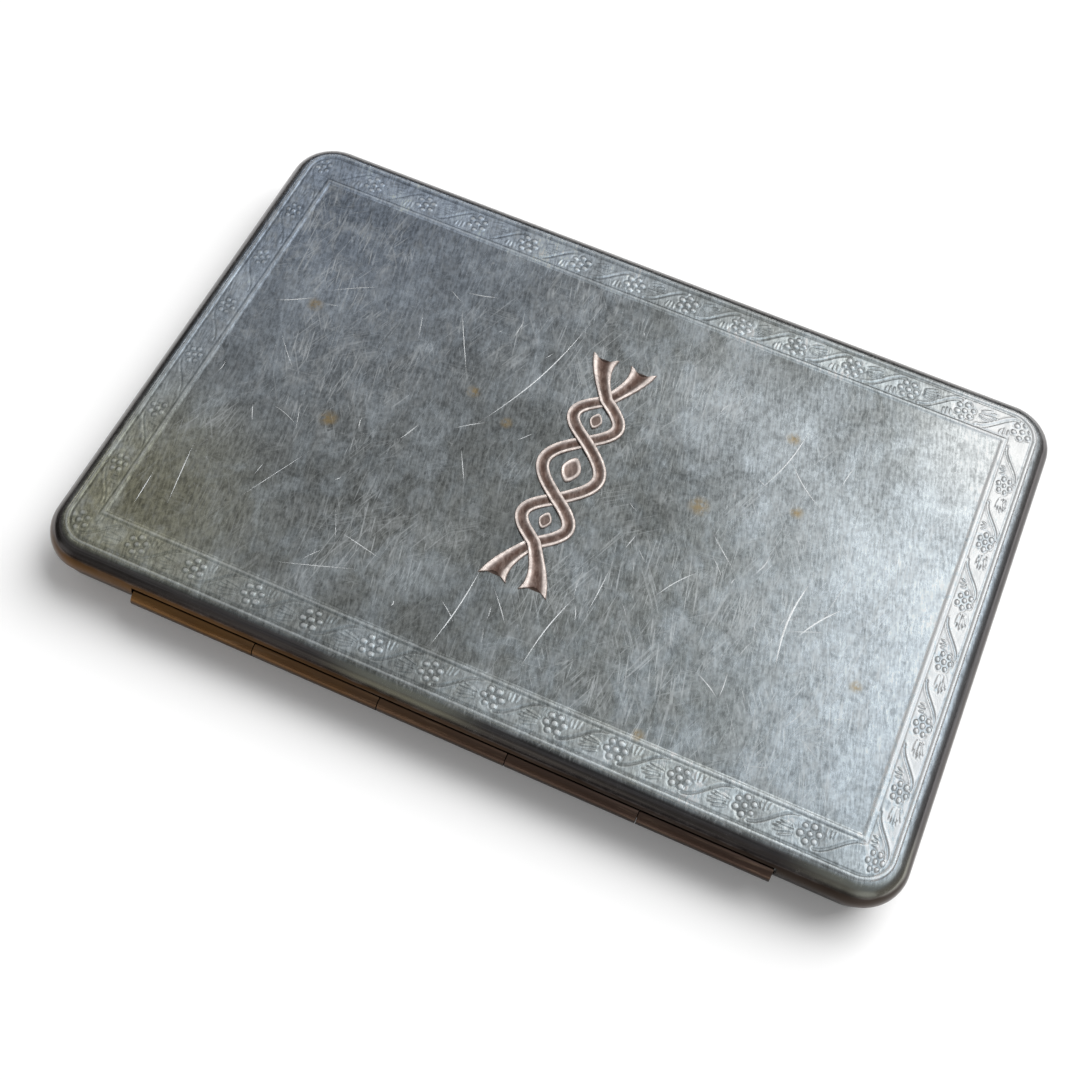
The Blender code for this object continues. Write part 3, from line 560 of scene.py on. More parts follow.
@dataclass(frozen=True)
class WornSilver:
    """Old silver: brushed, rubbed in clouds, scratched, and toned brown at its lower edges, part patina and
    part painted reflection and shade, with painted shade on its rounded edges and painted glare towards its
    right end.
    """

    name: str
    colour: Colour = (0.36, 0.392, 0.402)
    cool: Colour = (0.33, 0.385, 0.47)
    warm: Colour = (0.340, 0.356, 0.344)
    olive: Colour = (0.39, 0.38, 0.28)
    # A brighter tint laid over the right end: polish and painted glare.
    polished: Colour = (0.75, 0.82, 0.875)
    bright: Colour = (0.88, 0.91, 0.92)
    # The next three colours brown the lower walls: part patina, part painted reflection and shade.
    toned: Colour = (0.112, 0.058, 0.023)
    dark_tone_and_shade: Colour = (0.032, 0.023, 0.018)
    side_tone_and_shade: Colour = (0.068, 0.054, 0.044)
    # The next two colours are painted shade: on the rounded edge at the front, and on the edge and walls at
    # the back, which are lighter.
    edge_shade: Colour = (0.094, 0.083, 0.083)
    rear_edge_shade: Colour = (0.19, 0.185, 0.18)
    # Colour of the painted glint on the rounded edge.
    glint_colour: Colour = (0.40, 0.395, 0.33)
    # Grime and painted shade in the chased cuts.
    grime_and_shade: Colour = (0.17, 0.16, 0.14)
    stain: Colour = (0.52, 0.37, 0.16)
    roughness: float = 0.27
    lean: float = -13.0
    strokes: tuple[tuple[float, float, float, float], ...] = (
        (-14, 3.4, 0.13, 1.0), (-5, 4.4, 0.11, 0.9), (7, 3.8, 0.10, 0.8), (22, 4.2, 0.12, 0.8),
        (-34, 4.2, 0.13, 0.7), (52, 4.0, 0.15, 0.5), (84, 4.4, 0.11, 0.35),
    )
    rubbed: float = 1.0
    tone_heights: tuple[float, float] | None = None
    spots: tuple[tuple[float, float, float], ...] = ()

    def marks(self, recipe: Recipe) -> Wire:
        """Short rubbed strokes in several directions, each only where a broad noise lets it through.

        Args:
            recipe: the material's recipe.

        Returns:
            Strength of the strokes.
        """
        marks: object = 0.0
        for number, (turn, across, along, weight) in enumerate(self.strokes):
            shift = (17.0 * number, 5.0 * number, 0)
            line = recipe.grain(turn, (across, along, 1), 1, shift=shift).over(0.60, 0.68)
            where = recipe.grain(turn, (0.17, 0.11, 1), 3, 0.6, shift=shift).over(0.48, 0.56)
            marks = recipe.math("MAXIMUM", marks, line * where * weight)
        return marks

    def shade_and_tone_edges(self, recipe: Recipe, colour: Wire, wide: Wire) -> Wire:
        """Paints shade on the rounded edge, lighter at the right end and with a painted glint in two places,
        and tones the walls below it brown, part patina and part painted reflection and shade.

        Args:
            recipe: the material's recipe.
            colour: the silver so far.
            wide: the broadest noise.

        Returns:
            The colour with its edges.
        """
        low, high = self.tone_heights
        x, y, z = (recipe.axis(index) for index in range(3))
        outer = recipe.attribute("outer")
        right = x.over(46, 53)
        front = recipe.math("MAXIMUM", y.over(-34.5, -24, 1, 0), right)
        # A painted glint in two places on the rounded edge, kept high on the edge.
        glint = recipe.math("MAXIMUM", recipe.near((-6, -35, 7.3), 3, 9), recipe.near((49, -33, 7.3), 2, 8))
        streaks = recipe.grain(0, (0.03, 0.03, 5.5), 5, 0.7)
        # Painted shade on the rounded edge: darkest at the front, lighter at the back, and streaked along the
        # edge.
        dim = recipe.mix(front, recipe.mix(0.55, self.edge_shade, self.rear_edge_shade), self.edge_shade)
        dim = recipe.shade(dim, streaks.over(0.36, 0.62, 0.65, 1.75))
        dim = recipe.mix(glint * z.over(6.7, 7.35), dim, self.glint_colour)
        # How much painted shade each place gets: full low on the rounding, none on the flat face, and less
        # near the right end.
        shadow = z.over(7.78, 7.985, 0.92, 0) * outer * (1.0 - right * z.over(7.35, 7.75, 0, 0.6))
        colour = recipe.mix(shadow, colour, dim)
        # The walls below the rounding are toned brown, part patina and part painted reflection and shade:
        # amber at the left, dark to the right and on the right end, painted darker towards their top, and
        # grey at the back.
        edge = z + recipe.noise(0.5, 4) * 0.4
        lower = edge.over(low, high, 1, 0) * outer * z.over(0.1, 1.6)
        side = (x + wide * 30).over(-30, 40)
        tone = recipe.mix(right, recipe.mix(side, self.toned, self.dark_tone_and_shade), self.side_tone_and_shade)
        tone = recipe.shade(tone, z.over(5.3, 7.0, 1.1, 0.65))
        tone = recipe.mix(front, self.rear_edge_shade, tone)
        tone = recipe.shade(tone, wide.over(0.35, 0.65, 0.75, 1.3))
        worn = recipe.grain(0, (0.16, 0.16, 0.9), 9, 0.72, shift=(5, 3, 1)).over(0.50, 0.68)
        return recipe.mix(lower, colour, recipe.mix(worn * 0.12, tone, colour))

    def material(self) -> Material:
        """Builds the material.

        Returns:
            The material.
        """
        recipe = Recipe(self.name)
        flat = recipe.axis(2).over(7.55, 7.97) if self.tone_heights else 1.0
        wide = recipe.noise(0.05, 4, 0.55, 0.4)
        patches = recipe.grain(self.lean, (0.19, 0.13, 1), 7, 0.66, 0.4, shift=(31, 7, 0))
        clouds = recipe.grain(self.lean, (0.50, 0.30, 1), 12, 0.70, 0.5).over(0.47, 0.60)
        clusters = recipe.noise(0.075, 3, 0.55).over(0.44, 0.58, 0.35, 1.0)
        specks = recipe.grain(self.lean, (2.2, 0.8, 1), 5, 0.68, 0.4).over(0.43, 0.60)
        brush = recipe.grain(self.lean, (3.1, 0.5, 1), 5, 0.68).over(0.36, 0.64) * flat
        marks = self.marks(recipe) * flat
        relief, rubbed = recipe.attribute("relief"), recipe.attribute("rubbed")
        rub = clouds * (0.3 + specks * 0.7) * clusters * self.rubbed
        colour = recipe.mix(patches.over(0.38, 0.62), self.warm, self.colour)
        # Round tints: cool at the back left, olive at the front left, a brighter tint over the right end that
        # is polish and painted glare, and a painted glare at the back right corner.
        for spot, radius, edge, tint in (
            ((-58, 44, 8), 14, 62, self.cool), ((-47, -27, 8), 1, 22, self.olive),
            ((66, -2, 8), 14, 38, self.polished), ((52, 29, 8), 3, 18, self.bright),
        ):
            colour = recipe.mix(recipe.near(spot, radius, edge), colour, tint)
        bloom = recipe.near((20, 16, 8), 4, 15) * wide.over(0.3, 0.6, 0.35, 0.58)
        colour = recipe.mix(bloom + patches.over(0.50, 0.66, 0, 0.22), colour, self.polished)
        pebbles = recipe.noise(1.7, 4, 0.6).over(0.38, 0.62, -0.14, 0.14)
        lightness = 0.74 + brush * 0.46 + pebbles * flat
        lightness = lightness + wide.over(0.35, 0.65, -0.12, 0.12) + patches.over(0.38, 0.64, -0.10, 0.08)
        # The stored rubbed value lightens the border: part rubbing, part painted glare.
        colour = recipe.shade(colour, lightness * (1.0 + rubbed))
        colour = recipe.mix(rub * 0.42, colour, self.bright)
        strokes = marks * (clusters * (0.45 * self.rubbed)) * rubbed.over(0, 0.1, 1.0, 0.25)
        colour = recipe.mix(strokes, colour, self.bright)
        crumbs = recipe.grain(self.lean, (1.5, 1.0, 1), 5, 0.72).over(0.585, 0.68)
        crumbs = crumbs * recipe.noise(0.11, 3, 0.6).over(0.49, 0.58)
        colour = recipe.mix(crumbs * (0.42 * self.rubbed), colour, self.bright)
        # Raised relief is lightened, as rubbed high points and painted highlight, and the cuts are darkened,
        # as grime and painted shade.
        raised = relief.over(0.015, 0.09)
        colour = recipe.mix(raised * 0.65, colour, self.bright)
        colour = recipe.mix(relief.over(-0.11, -0.025, 0.7, 0.0), colour, self.grime_and_shade)
        for x, y, radius in self.spots:
            speckle = recipe.noise(1.1, 6, 0.7).over(0.36, 0.55, 0.1, 0.75)
            spot = recipe.near((x, y, 8), radius * 0.1, radius * 0.9)
            colour = recipe.mix(spot * speckle, colour, self.stain)
        if self.tone_heights:
            colour = self.shade_and_tone_edges(recipe, colour, wide)
        colour = recipe.node("VectorMath", {0: colour, 1: (0.97, 0.97, 0.97)}, operation="MINIMUM")
        recipe.bump(brush * 0.25 + marks * -0.5 + specks * flat * 0.4, 0.008)
        rough = recipe.remap(flat, 0, 1, self.roughness * 0.7, self.roughness) + rub * 0.10 + marks * 0.06
        return recipe.finish(colour, rough, 1.0 - recipe.math("MAXIMUM", strokes * 0.28, raised * 0.15))


@dataclass(frozen=True)
class RimmedGold:
    """Rose gold of the ornament, with painted highlight on its rims and painted shade in its sunken middle.
    """

    name: str = "rose_gold"
    # The rim colour is a painted highlight and the middle colour a painted shade.
    rim: Colour = (0.96, 0.84, 0.78)
    middle: Colour = (0.25, 0.16, 0.13)
    worn: Colour = (0.62, 0.47, 0.41)
    roughness: float = 0.26
    lean: float = -18.0

    def material(self) -> Material:
        """Builds the material.

        Returns:
            The material.
        """
        recipe = Recipe(self.name)
        blotch = recipe.noise(1.4, 6, 0.65, 0.4)
        # The stored rim share picks the painted highlight colour, and the sunken middle the painted shade
        # colour.
        rim = recipe.attribute("relief")
        worn = recipe.grain(self.lean, (1.6, 0.5, 1), 5, 0.66).over(0.44, 0.62)
        colour = recipe.mix(rim, recipe.mix(worn * 0.5, self.middle, self.worn), self.rim)
        colour = recipe.shade(colour, blotch.over(0.3, 0.7, 0.70, 1.15))
        recipe.bump(recipe.grain(self.lean, (5, 1.2, 1), 4, 0.6) + blotch, 0.012)
        return recipe.finish(colour, self.roughness + blotch * 0.16, 1.0 - rim * 0.6)


@dataclass(frozen=True)
class TonedTube:
    """Brown toned silver of the hinge: amber at the left, darker to the right, with rubbed streaks, and
    painted shade and highlight: dark on the lower half, light on the crest.
    """

    name: str = "hinge_metal"
    amber: Colour = (0.13, 0.066, 0.024)
    brown: Colour = (0.062, 0.040, 0.031)
    rubbed: Colour = (0.22, 0.15, 0.10)
    roughness: float = 0.32

    def material(self) -> Material:
        """Builds the material.

        Returns:
            The material.
        """
        recipe = Recipe(self.name)
        streak = recipe.grain(0, (0.14, 2.5, 2.5), 6, 0.65).over(0.52, 0.72)
        blotch = recipe.noise(0.25, 6, 0.6)
        side = (recipe.axis(0) + blotch * 24).over(-34, 30)
        colour = recipe.mix(streak * 0.35, recipe.mix(side, self.amber, self.brown), self.rubbed)
        # Painted shade and highlight: darker below the tube's crest and lighter on it.
        colour = recipe.shade(colour, recipe.axis(2).over(5.2, 5.85, 0.45, 1.9))
        recipe.bump(streak + blotch, 0.01)
        return recipe.finish(colour, self.roughness, 1.0)


@dataclass(frozen=True)
class SoftMetal:
    """A plated or plain metal with fine wipe marks."""

    name: str
    colour: Colour
    dark: Colour
    roughness: float
    metallic: float = 1.0

    def material(self) -> Material:
        """Builds the material.

        Returns:
            The material.
        """
        recipe = Recipe(self.name)
        wipes = recipe.grain(0, (6, 0.5, 1), 5, 0.6)
        blotch = recipe.noise(0.4, 6, 0.6, 0.5)
        recipe.bump(wipes + blotch * 0.4, 0.008)
        colour = recipe.mix(blotch.over(0.4, 0.7) * 0.7, self.colour, self.dark)
        return recipe.finish(colour, self.roughness + wipes * 0.12, self.metallic)


@dataclass(frozen=True)
class SilveredGlass:
    """Old mirror glass: nearly clean, with cloudy specks at its edge."""

    name: str = "silvered_glass"
    colour: Colour = (0.78, 0.81, 0.81)
    speck: Colour = (0.30, 0.27, 0.21)

    def material(self) -> Material:
        """Builds the material.

        Returns:
            The material.
        """
        recipe = Recipe(self.name)
        side = recipe.math("ABSOLUTE", recipe.axis(1)).over(24, 32)
        end = recipe.math("ABSOLUTE", recipe.axis(0)).over(40, 50)
        specks = recipe.noise(0.8, 8, 0.75).over(0.62, 0.7) * recipe.math("MAXIMUM", side, end)
        smear = recipe.grain(30, (0.4, 0.1, 1), 5, 0.6).over(0.4, 0.8, 0.015, 0.07)
        recipe.bump(specks, 0.004, 0.5)
        return recipe.finish(recipe.mix(specks, self.colour, self.speck), smear + specks * 0.3, 1.0)


@dataclass(frozen=True)
class Pressed:
    """Pressed powder: matt, finely grained, with lighter dust where the puff rubs."""

    name: str
    colour: Colour
    light: Colour

    def material(self) -> Material:
        """Builds the material.

        Returns:
            The material.
        """
        recipe = Recipe(self.name)
        wiped = recipe.grain(35, (0.25, 0.9, 1), 6, 0.6, 0.6).over(0.4, 0.7)
        recipe.bump(recipe.noise(9, 6, 0.7) + wiped, 0.04)
        return recipe.finish(recipe.mix(wiped, self.colour, self.light), 0.92, 0.0)


@dataclass(frozen=True)
class Velour:
    """Short dense pile with brushed patches."""

    name: str = "velour"
    colour: Colour = (0.86, 0.72, 0.66)
    shade: Colour = (0.72, 0.56, 0.50)

    def material(self) -> Material:
        """Builds the material.

        Returns:
            The material.
        """
        recipe = Recipe(self.name)
        pile = recipe.noise(14, 4, 0.7)
        nap = recipe.noise(0.3, 5, 0.6, 1.0).over(0.35, 0.7)
        colour = recipe.mix(pile * 0.35, recipe.mix(nap, self.colour, self.shade), self.shade)
        recipe.bump(pile, 0.12)
        return recipe.finish(colour, 0.95, 0.0, sheen_weight=0.5, sheen_roughness=0.4)


@dataclass(frozen=True)
class EngineTurned:
    """Gilt-washed plate with wavy rings cut round the powder pan, and a plain margin."""

    name: str = "engine_turned_plate"
    colour: Colour = (0.92, 0.70, 0.38)
    dark: Colour = (0.54, 0.38, 0.18)
    pan: tuple[float, float] = (-24.5, 0.0)
    pitch: float = 0.95
    lobes: float = 32.0
    sway: float = 1.3
    plain: tuple[float, float] = (49.6, 31.6)

    def material(self) -> Material:
        """Builds the material: a sine of the distance from the pan, swayed by a sine of the turn round it.

        Returns:
            The material.
        """
        recipe = Recipe(self.name)
        x, y = recipe.axis(0), recipe.axis(1)
        from_x, from_y = x - self.pan[0], y - self.pan[1]
        reach = recipe.math("SQRT", from_x * from_x + from_y * from_y)
        turn = recipe.math("ARCTAN2", from_y, from_x)
        phase = reach * (2 * math.pi / self.pitch) + recipe.math("SINE", turn * self.lobes) * self.sway
        cuts = recipe.math("SINE", phase).over(-1, 1)
        for place, margin in zip((x, y), self.plain):
            cuts = cuts * recipe.math("ABSOLUTE", place).over(margin, margin + 0.2, 1, 0)
        wear = recipe.noise(0.3, 6, 0.6)
        colour = recipe.mix(cuts * 0.45, self.colour, self.dark)
        recipe.bump(cuts, 0.05)
        return recipe.finish(
            recipe.shade(colour, wear.over(0.3, 0.7, 0.88, 1.1)), wear.over(0.3, 0.7, 0.28, 0.40), 1.0
        )


@dataclass(frozen=True)
class Satin:
    """Ribbed satin of the puff's band."""

    name: str = "satin"
    colour: Colour = (0.80, 0.52, 0.50)
    light: Colour = (0.92, 0.70, 0.66)
    rib_pitch: float = 0.34

    def material(self) -> Material:
        """Builds the material.

        Returns:
            The material.
        """
        recipe = Recipe(self.name)
        rib = recipe.math("SINE", recipe.axis(0) * (2 * math.pi / self.rib_pitch)).over(-1, 1)
        recipe.bump(rib + recipe.grain(0, (0.5, 9, 1), 3, 0.6), 0.03)
        # Each rib's crest is coloured lighter: a painted sheen.
        return recipe.finish(recipe.mix(rib * 0.5, self.colour, self.light), 0.42, 0.0, sheen_weight=0.3)


@dataclass(frozen=True)
class PlainCard:
    """Grey-brown pasteboard with short fibres."""

    name: str = "pasteboard"
    colour: Colour = (0.42, 0.35, 0.26)
    fibre: Colour = (0.55, 0.48, 0.38)

    def material(self) -> Material:
        """Builds the material.

        Returns:
            The material.
        """
        recipe = Recipe(self.name)
        fibres = recipe.grain(20, (4, 0.7, 1), 5, 0.7).over(0.5, 0.7)
        recipe.bump(fibres, 0.02)
        return recipe.finish(recipe.mix(fibres, self.colour, self.fibre), 0.9, 0.0)


# The case


@dataclass(frozen=True)
class CaseSizes:
    """Main sizes of the case, in step with its solids."""

    half: tuple[float, float] = (54.0, 36.0)
    corner: float = 6.0
    top: float = 8.0
    lid_rim: float = 5.15
    lid_edge: float = 2.6
    sheet: float = 0.7
    base_half: tuple[float, float] = (53.4, 35.4)
    base_corner: float = 5.4
    base_rim: float = 4.85
    base_edge: float = 4.0
    axis: tuple[float, float, float] = (0.0, -35.85, 5.0)
    groove_radius: float = 1.4
    bearer_radius: float = 2.0
    hinge_half: float = 40.0
    frame_half: tuple[float, float] = (47.45, 28.6)

    def outline_depth(self, x: Array, y: Array) -> Array:
        """How far inside the lid's outline a place is: the distance to a rounded rectangle.

        Args:
            x: places along the case.
            y: places across it.

        Returns:
            Distances, positive inside.
        """
        qx = np.abs(x) - (self.half[0] - self.corner)
        qy = np.abs(y) - (self.half[1] - self.corner)
        outside = np.hypot(np.maximum(qx, 0), np.maximum(qy, 0))
        return self.corner - outside - np.minimum(np.maximum(qx, qy), 0)

    def lid_height(self, depth: Array) -> Array:
        """Height of the lid's outer face: flat, then a quarter circle down to the outline."""
        run = np.clip(self.lid_edge - depth, 0, self.lid_edge)
        return self.top - self.lid_edge + np.sqrt(self.lid_edge**2 - run**2)

    def frame_depth(self, x: Array, y: Array) -> Array:
        """How far inside the inner engraved frame a place is, negative in the border."""
        return np.minimum(self.frame_half[0] - np.abs(x), self.frame_half[1] - np.abs(y))

    def on_hinge(self, rings: Array) -> Array:
        """Rings about Z laid along the hinge's axis."""
        return rings[..., (2, 0, 1)] + self.axis


CASE = CaseSizes()


@dataclass
class CaseShells:
    """The two outer shells, with smooth edges and the curved wall that carries the hinge."""

    arc_steps: int = 20
    side_steps: int = 12
    edge_steps: int = 14
    rim_bevel: float = 0.1
    space_bevel: float = 0.01
    rod_steps: int = 72
    groove_play: float = 0.3
    notch_half: tuple[float, float] = (4.7, 2.0)
    notch_low: float = 1.9

    def rod(self, name: str, radius: float, half: float) -> Piece:
        """A cylinder of a radius and half length along the hinge's axis."""
        return solid(name, CASE.on_hinge(revolved([(radius, -half), (radius, half)], self.rod_steps)))

    def cushion(self, name: str, half: tuple[float, float], corner: float, profile: Array) -> Piece:
        """A solid of rounded rectangles stacked along a profile of offsets and heights, lowest first."""
        return solid(name, rounded_rings(half, corner, profile, self.arc_steps, self.side_steps))

    def top_profile(self, inset: float, radius: float, low: float, high: float, bevel: float) -> Array:
        """Offsets and heights of a solid whose upper edge is a quarter circle.

        Args:
            inset: how far the wall lies inside the outline.
            radius: radius of the upper edge.
            low: lowest height.
            high: highest height.
            bevel: width of the small bevel at the lower edge.

        Returns:
            Array of offsets and heights, lowest first.
        """
        edge = arc((inset + radius, high - radius), radius, 180, -90, self.edge_steps)
        flat = [(inset + radius + 0.06, high), (inset + radius + 2.6, high)]
        return np.concatenate([[(inset + bevel, low), (inset, low + bevel)], edge, flat])

    def shell(self, name: str, outer: Piece, hollow: Piece, *extra: Piece) -> Piece:
        """Hollows a shell, leaves the wall round the hinge groove and cuts the groove.

        Args:
            name: the shell's name.
            outer: the full outer solid.
            hollow: the inner space.
            extra: more solids to take away.

        Returns:
            The shell.
        """
        length = CASE.hinge_half + self.groove_play
        cut(hollow, [self.rod(f"{name}_bearer", CASE.bearer_radius, length + 2 * self.groove_play)])
        return cut(outer, [hollow, self.rod(f"{name}_groove", CASE.groove_radius, length), *extra])

    def mark_outside(self, piece: Piece, inset: float, rise: Array, edge: float) -> None:
        """Stores 1 on a shell's outer face and 0 on its inner one, by the distance to the edge's arc line.

        Args:
            piece: the shell.
            inset: how far the shell lies inside the lid's outline.
            rise: distance of each point from the arc's line towards the flat face.
            edge: radius of the shell's edge.
        """
        x, y, _ = piece_points(piece).T
        depth = CASE.outline_depth(x, y) - inset
        reach = np.hypot(np.maximum(edge - depth, 0), np.maximum(rise, 0))
        store_values(piece, "outer", ramp(reach, edge - CASE.sheet * 0.6, CASE.sheet * 0.3))

    def build(self, lid_metal: Material, base_metal: Material) -> None:
        """Makes both shells.

        Args:
            lid_metal: material of the lid.
            base_metal: material of the base.
        """
        sheet, edge = CASE.sheet, CASE.lid_edge
        outside = self.top_profile(0, edge, CASE.lid_rim, CASE.top, self.rim_bevel)
        inside = self.top_profile(sheet, edge - sheet, CASE.lid_rim - 1, CASE.top - sheet, self.space_bevel)
        outer = self.cushion("lid_pressing", CASE.half, CASE.corner, outside)
        lid = self.shell("lid", outer, self.cushion("lid_space", CASE.half, CASE.corner, inside))
        self.mark_outside(lid, 0, piece_points(lid)[:, 2] - CASE.top + edge, edge)
        finish_piece(lid, lid_metal, Body.LID, "lid_shell")

        upside, edge = (1, -1), CASE.base_edge
        outside = self.top_profile(0, edge, -CASE.base_rim, 0, self.rim_bevel) * upside
        inside = self.top_profile(sheet, edge - sheet, -CASE.base_rim - 1, -sheet, self.space_bevel) * upside
        outer = self.cushion("base_pressing", CASE.base_half, CASE.base_corner, outside[::-1])
        hollow = self.cushion("base_space", CASE.base_half, CASE.base_corner, inside[::-1])
        ring = rounded_rings(self.notch_half, 0.3, [(0, self.notch_low), (0, CASE.base_rim + 1)], 6, 2)
        notch = solid("thumb_notch", ring + (0, CASE.base_half[1] + 0.6, 0))
        base = self.shell("base", outer, hollow, notch)
        self.mark_outside(base, CASE.half[0] - CASE.base_half[0], edge - piece_points(base)[:, 2], edge)
        finish_piece(base, base_metal, Body.BASE, "base_shell")


@dataclass
class LidBorder:
    """The chased border: flowers, leaf sprays and waved stems between an outer bead and a double frame."""

    pitch_counts: tuple[int, int] = (13, 7)
    band_halves: tuple[float, float] = (1.8, 1.35)
    corner_flower: tuple[float, float] = (49.75, 31.1)
    step: float = 0.1
    outer_reach: float = 1.9
    inner_reach: float = 0.3
    skirt: float = 0.12
    worn_from: float = -60.0
    worn_over: float = 90.0
    worn_share: float = 0.45
    # How much the front and back sides are lightened at places along the case: part rubbing, part painted
    # glare.
    rub_and_glare_front: tuple[tuple[float, ...], ...] = (
        (-54, -2, 10, 25, 40, 45, 50), (0.40, 0.45, 0.85, 1.0, 0.6, 0.15, 0.65)
    )
    rub_and_glare_back: tuple[tuple[float, ...], ...] = (
        (-54, -42, -10, 10, 25, 38, 46, 51), (0.15, 0.85, 0.85, 0.6, 1.1, 0.25, 0.3, 0.8)
    )
    level: float = 0.05
    sunk: float = -0.06
    flower_ring: float = 1.06
    petal_radius: float = 0.40
    petal_height: float = 0.11
    moat_depth: float = 0.055
    stroke_width: float = 0.17
    stroke_height: float = 0.13
    stem_width: float = 0.13
    stem_depth: float = 0.10
    outer_lines: tuple[tuple[float, float, float], ...] = ((2.78, 0.11, -0.085), (2.34, 0.20, 0.06))
    inner_lines: tuple[tuple[float, float, float], ...] = (
        (-0.85, 0.09, -0.055), (-0.45, 0.22, 0.05), (-0.05, 0.08, -0.06),
    )
    seed: int = 11
    sprays: tuple[tuple[float, float, float, float], ...] = (
        (-3.55, 0.30, -1.85, 0.05), (-3.95, -0.15, -1.90, -0.20), (-4.15, -0.65, -2.00, -0.45),
        (-3.95, -1.15, -2.00, -0.70), (-3.45, -1.50, -1.90, -0.95), (1.75, 0.45, 1.65, 1.35),
        (2.15, 0.40, 2.20, 1.50), (2.55, 0.55, 2.75, 1.45),
    )
    stem_start: float = 0.8
    stem_run: float = 4.9
    stem_low: float = -1.45
    stem_rise: float = 3.0

    def line(self, u: Array, v: Array, ends: Sequence[float], width: float) -> Array:
        """A tapered cut: a bell curve of the distance to a line, deepest in its middle.

        Args:
            u: places along the border.
            v: places across it.
            ends: both ends of the line.
            width: half width of the cut.

        Returns:
            Depth from 0 to 1.
        """
        ax, ay, bx, by = ends
        dx, dy = bx - ax, by - ay
        share = np.clip(((u - ax) * dx + (v - ay) * dy) / (dx * dx + dy * dy), 0, 1)
        away = np.hypot(u - ax - share * dx, v - ay - share * dy)
        return bell(away, width * (0.35 + 0.65 * np.sin(np.pi * np.clip(share, 0.05, 0.95))))

    def motif(self, u: Array, v: Array, half_width: float, random: np.random.Generator) -> Array:
        """Relief of one flower with its sprays and stem.

        Petals are domes on a ring round one more dome. Leaves are tapered ridges in a moat. The stem is a
        cut along a smooth step from the outer to the inner side, with a low ridge on either side.

        Args:
            u: places along the border, from the flower's middle.
            v: places across it.
            half_width: half width of the chased band.
            random: source of the hand's unevenness.

        Returns:
            Relief in millimetres.
        """
        v = v / (half_width / self.band_halves[0]) + random.normal(0, 0.05)
        u = u + random.normal(0, 0.07)
        relief = np.zeros_like(u)
        start = random.uniform(0, np.pi / 3)
        for index in range(7):
            turn = start + index * np.pi / 3
            reach = self.flower_ring * (1 + random.normal(0, 0.04)) if index < 6 else 0.0
            away = np.hypot(u - reach * np.cos(turn), v - reach * np.sin(turn))
            radius = self.petal_radius * (1 + random.normal(0, 0.06))
            dome = np.maximum(1 - (away / radius) ** 2, 0) ** 0.7 * self.petal_height
            relief = np.maximum(relief, 0) + dome + np.minimum(relief, 0) * (away > radius)
            relief = relief - self.moat_depth * bell(away - radius * 1.15, 0.14) * (relief < 0.02)
        for ends in self.sprays:
            shaken = np.array(ends) + random.normal(0, 0.05, 4)
            relief = relief + self.stroke_height * self.line(u, v, shaken, self.stroke_width)
            relief = relief - 0.06 * self.line(u, v, shaken, self.stroke_width * 2.1)
        share = ramp(u, self.stem_start, self.stem_run)
        middle = self.stem_low + self.stem_rise * share**2 * (3 - 2 * share)
        slope = self.stem_rise * 6 * share * (1 - share) / self.stem_run
        beyond = np.abs(u - self.stem_start - self.stem_run / 2) - self.stem_run / 2
        away = np.hypot((v - middle) / np.hypot(1, slope), np.maximum(beyond, 0))
        side = np.where(v > middle, 1, -1) * away
        relief = relief - self.stem_depth * bell(away, self.stem_width)
        return relief + 0.045 * bell(side + 0.34, 0.17) + 0.03 * bell(side - 0.30, 0.15)

    def relief(self, x: Array, y: Array) -> tuple[Array, Array]:
        """Relief of the whole border over the lid's face.

        Args:
            x: places along the case.
            y: places across it.

        Returns:
            Height over the face in millimetres, sunk under it outside the border, and the relief alone.
        """
        random = np.random.default_rng(self.seed)
        depth, inner = CASE.outline_depth(x, y), CASE.frame_depth(x, y)
        cuts = np.zeros_like(x)
        cx, cy = self.corner_flower
        for along, across, side in ((x, y + cy, 0), (y, cx - x, 1), (-x, cy - y, 0), (-y, x + cx, 1)):
            half, count = self.corner_flower[side], self.pitch_counts[side]
            for index in range(count):
                u = along + half - index * (2 * half / count)
                near = (np.abs(u - 0.9) < 5.6) & (np.abs(across) < 2.8)
                if near.any():
                    cuts[near] += self.motif(u[near], across[near], self.band_halves[side], random)
                else:
                    self.motif(u[:1, :1], across[:1, :1], self.band_halves[side], random)
        cuts *= ramp(depth, 2.90, 0.15) * ramp(-inner, 0.92, 0.12)
        cuts *= self.worn_share + (1 - self.worn_share) * ramp(x, self.worn_from, self.worn_over)
        for place, lines in ((depth, self.outer_lines), (inner, self.inner_lines)):
            for middle, width, height in lines:
                cuts += height * bell(place - middle, width)
        shown = ramp(depth, 1.95, 0.2) * np.clip((0.16 - inner) / 0.14, 0, 1)
        return self.sunk + (self.level + cuts - self.sunk) * shown, cuts * shown

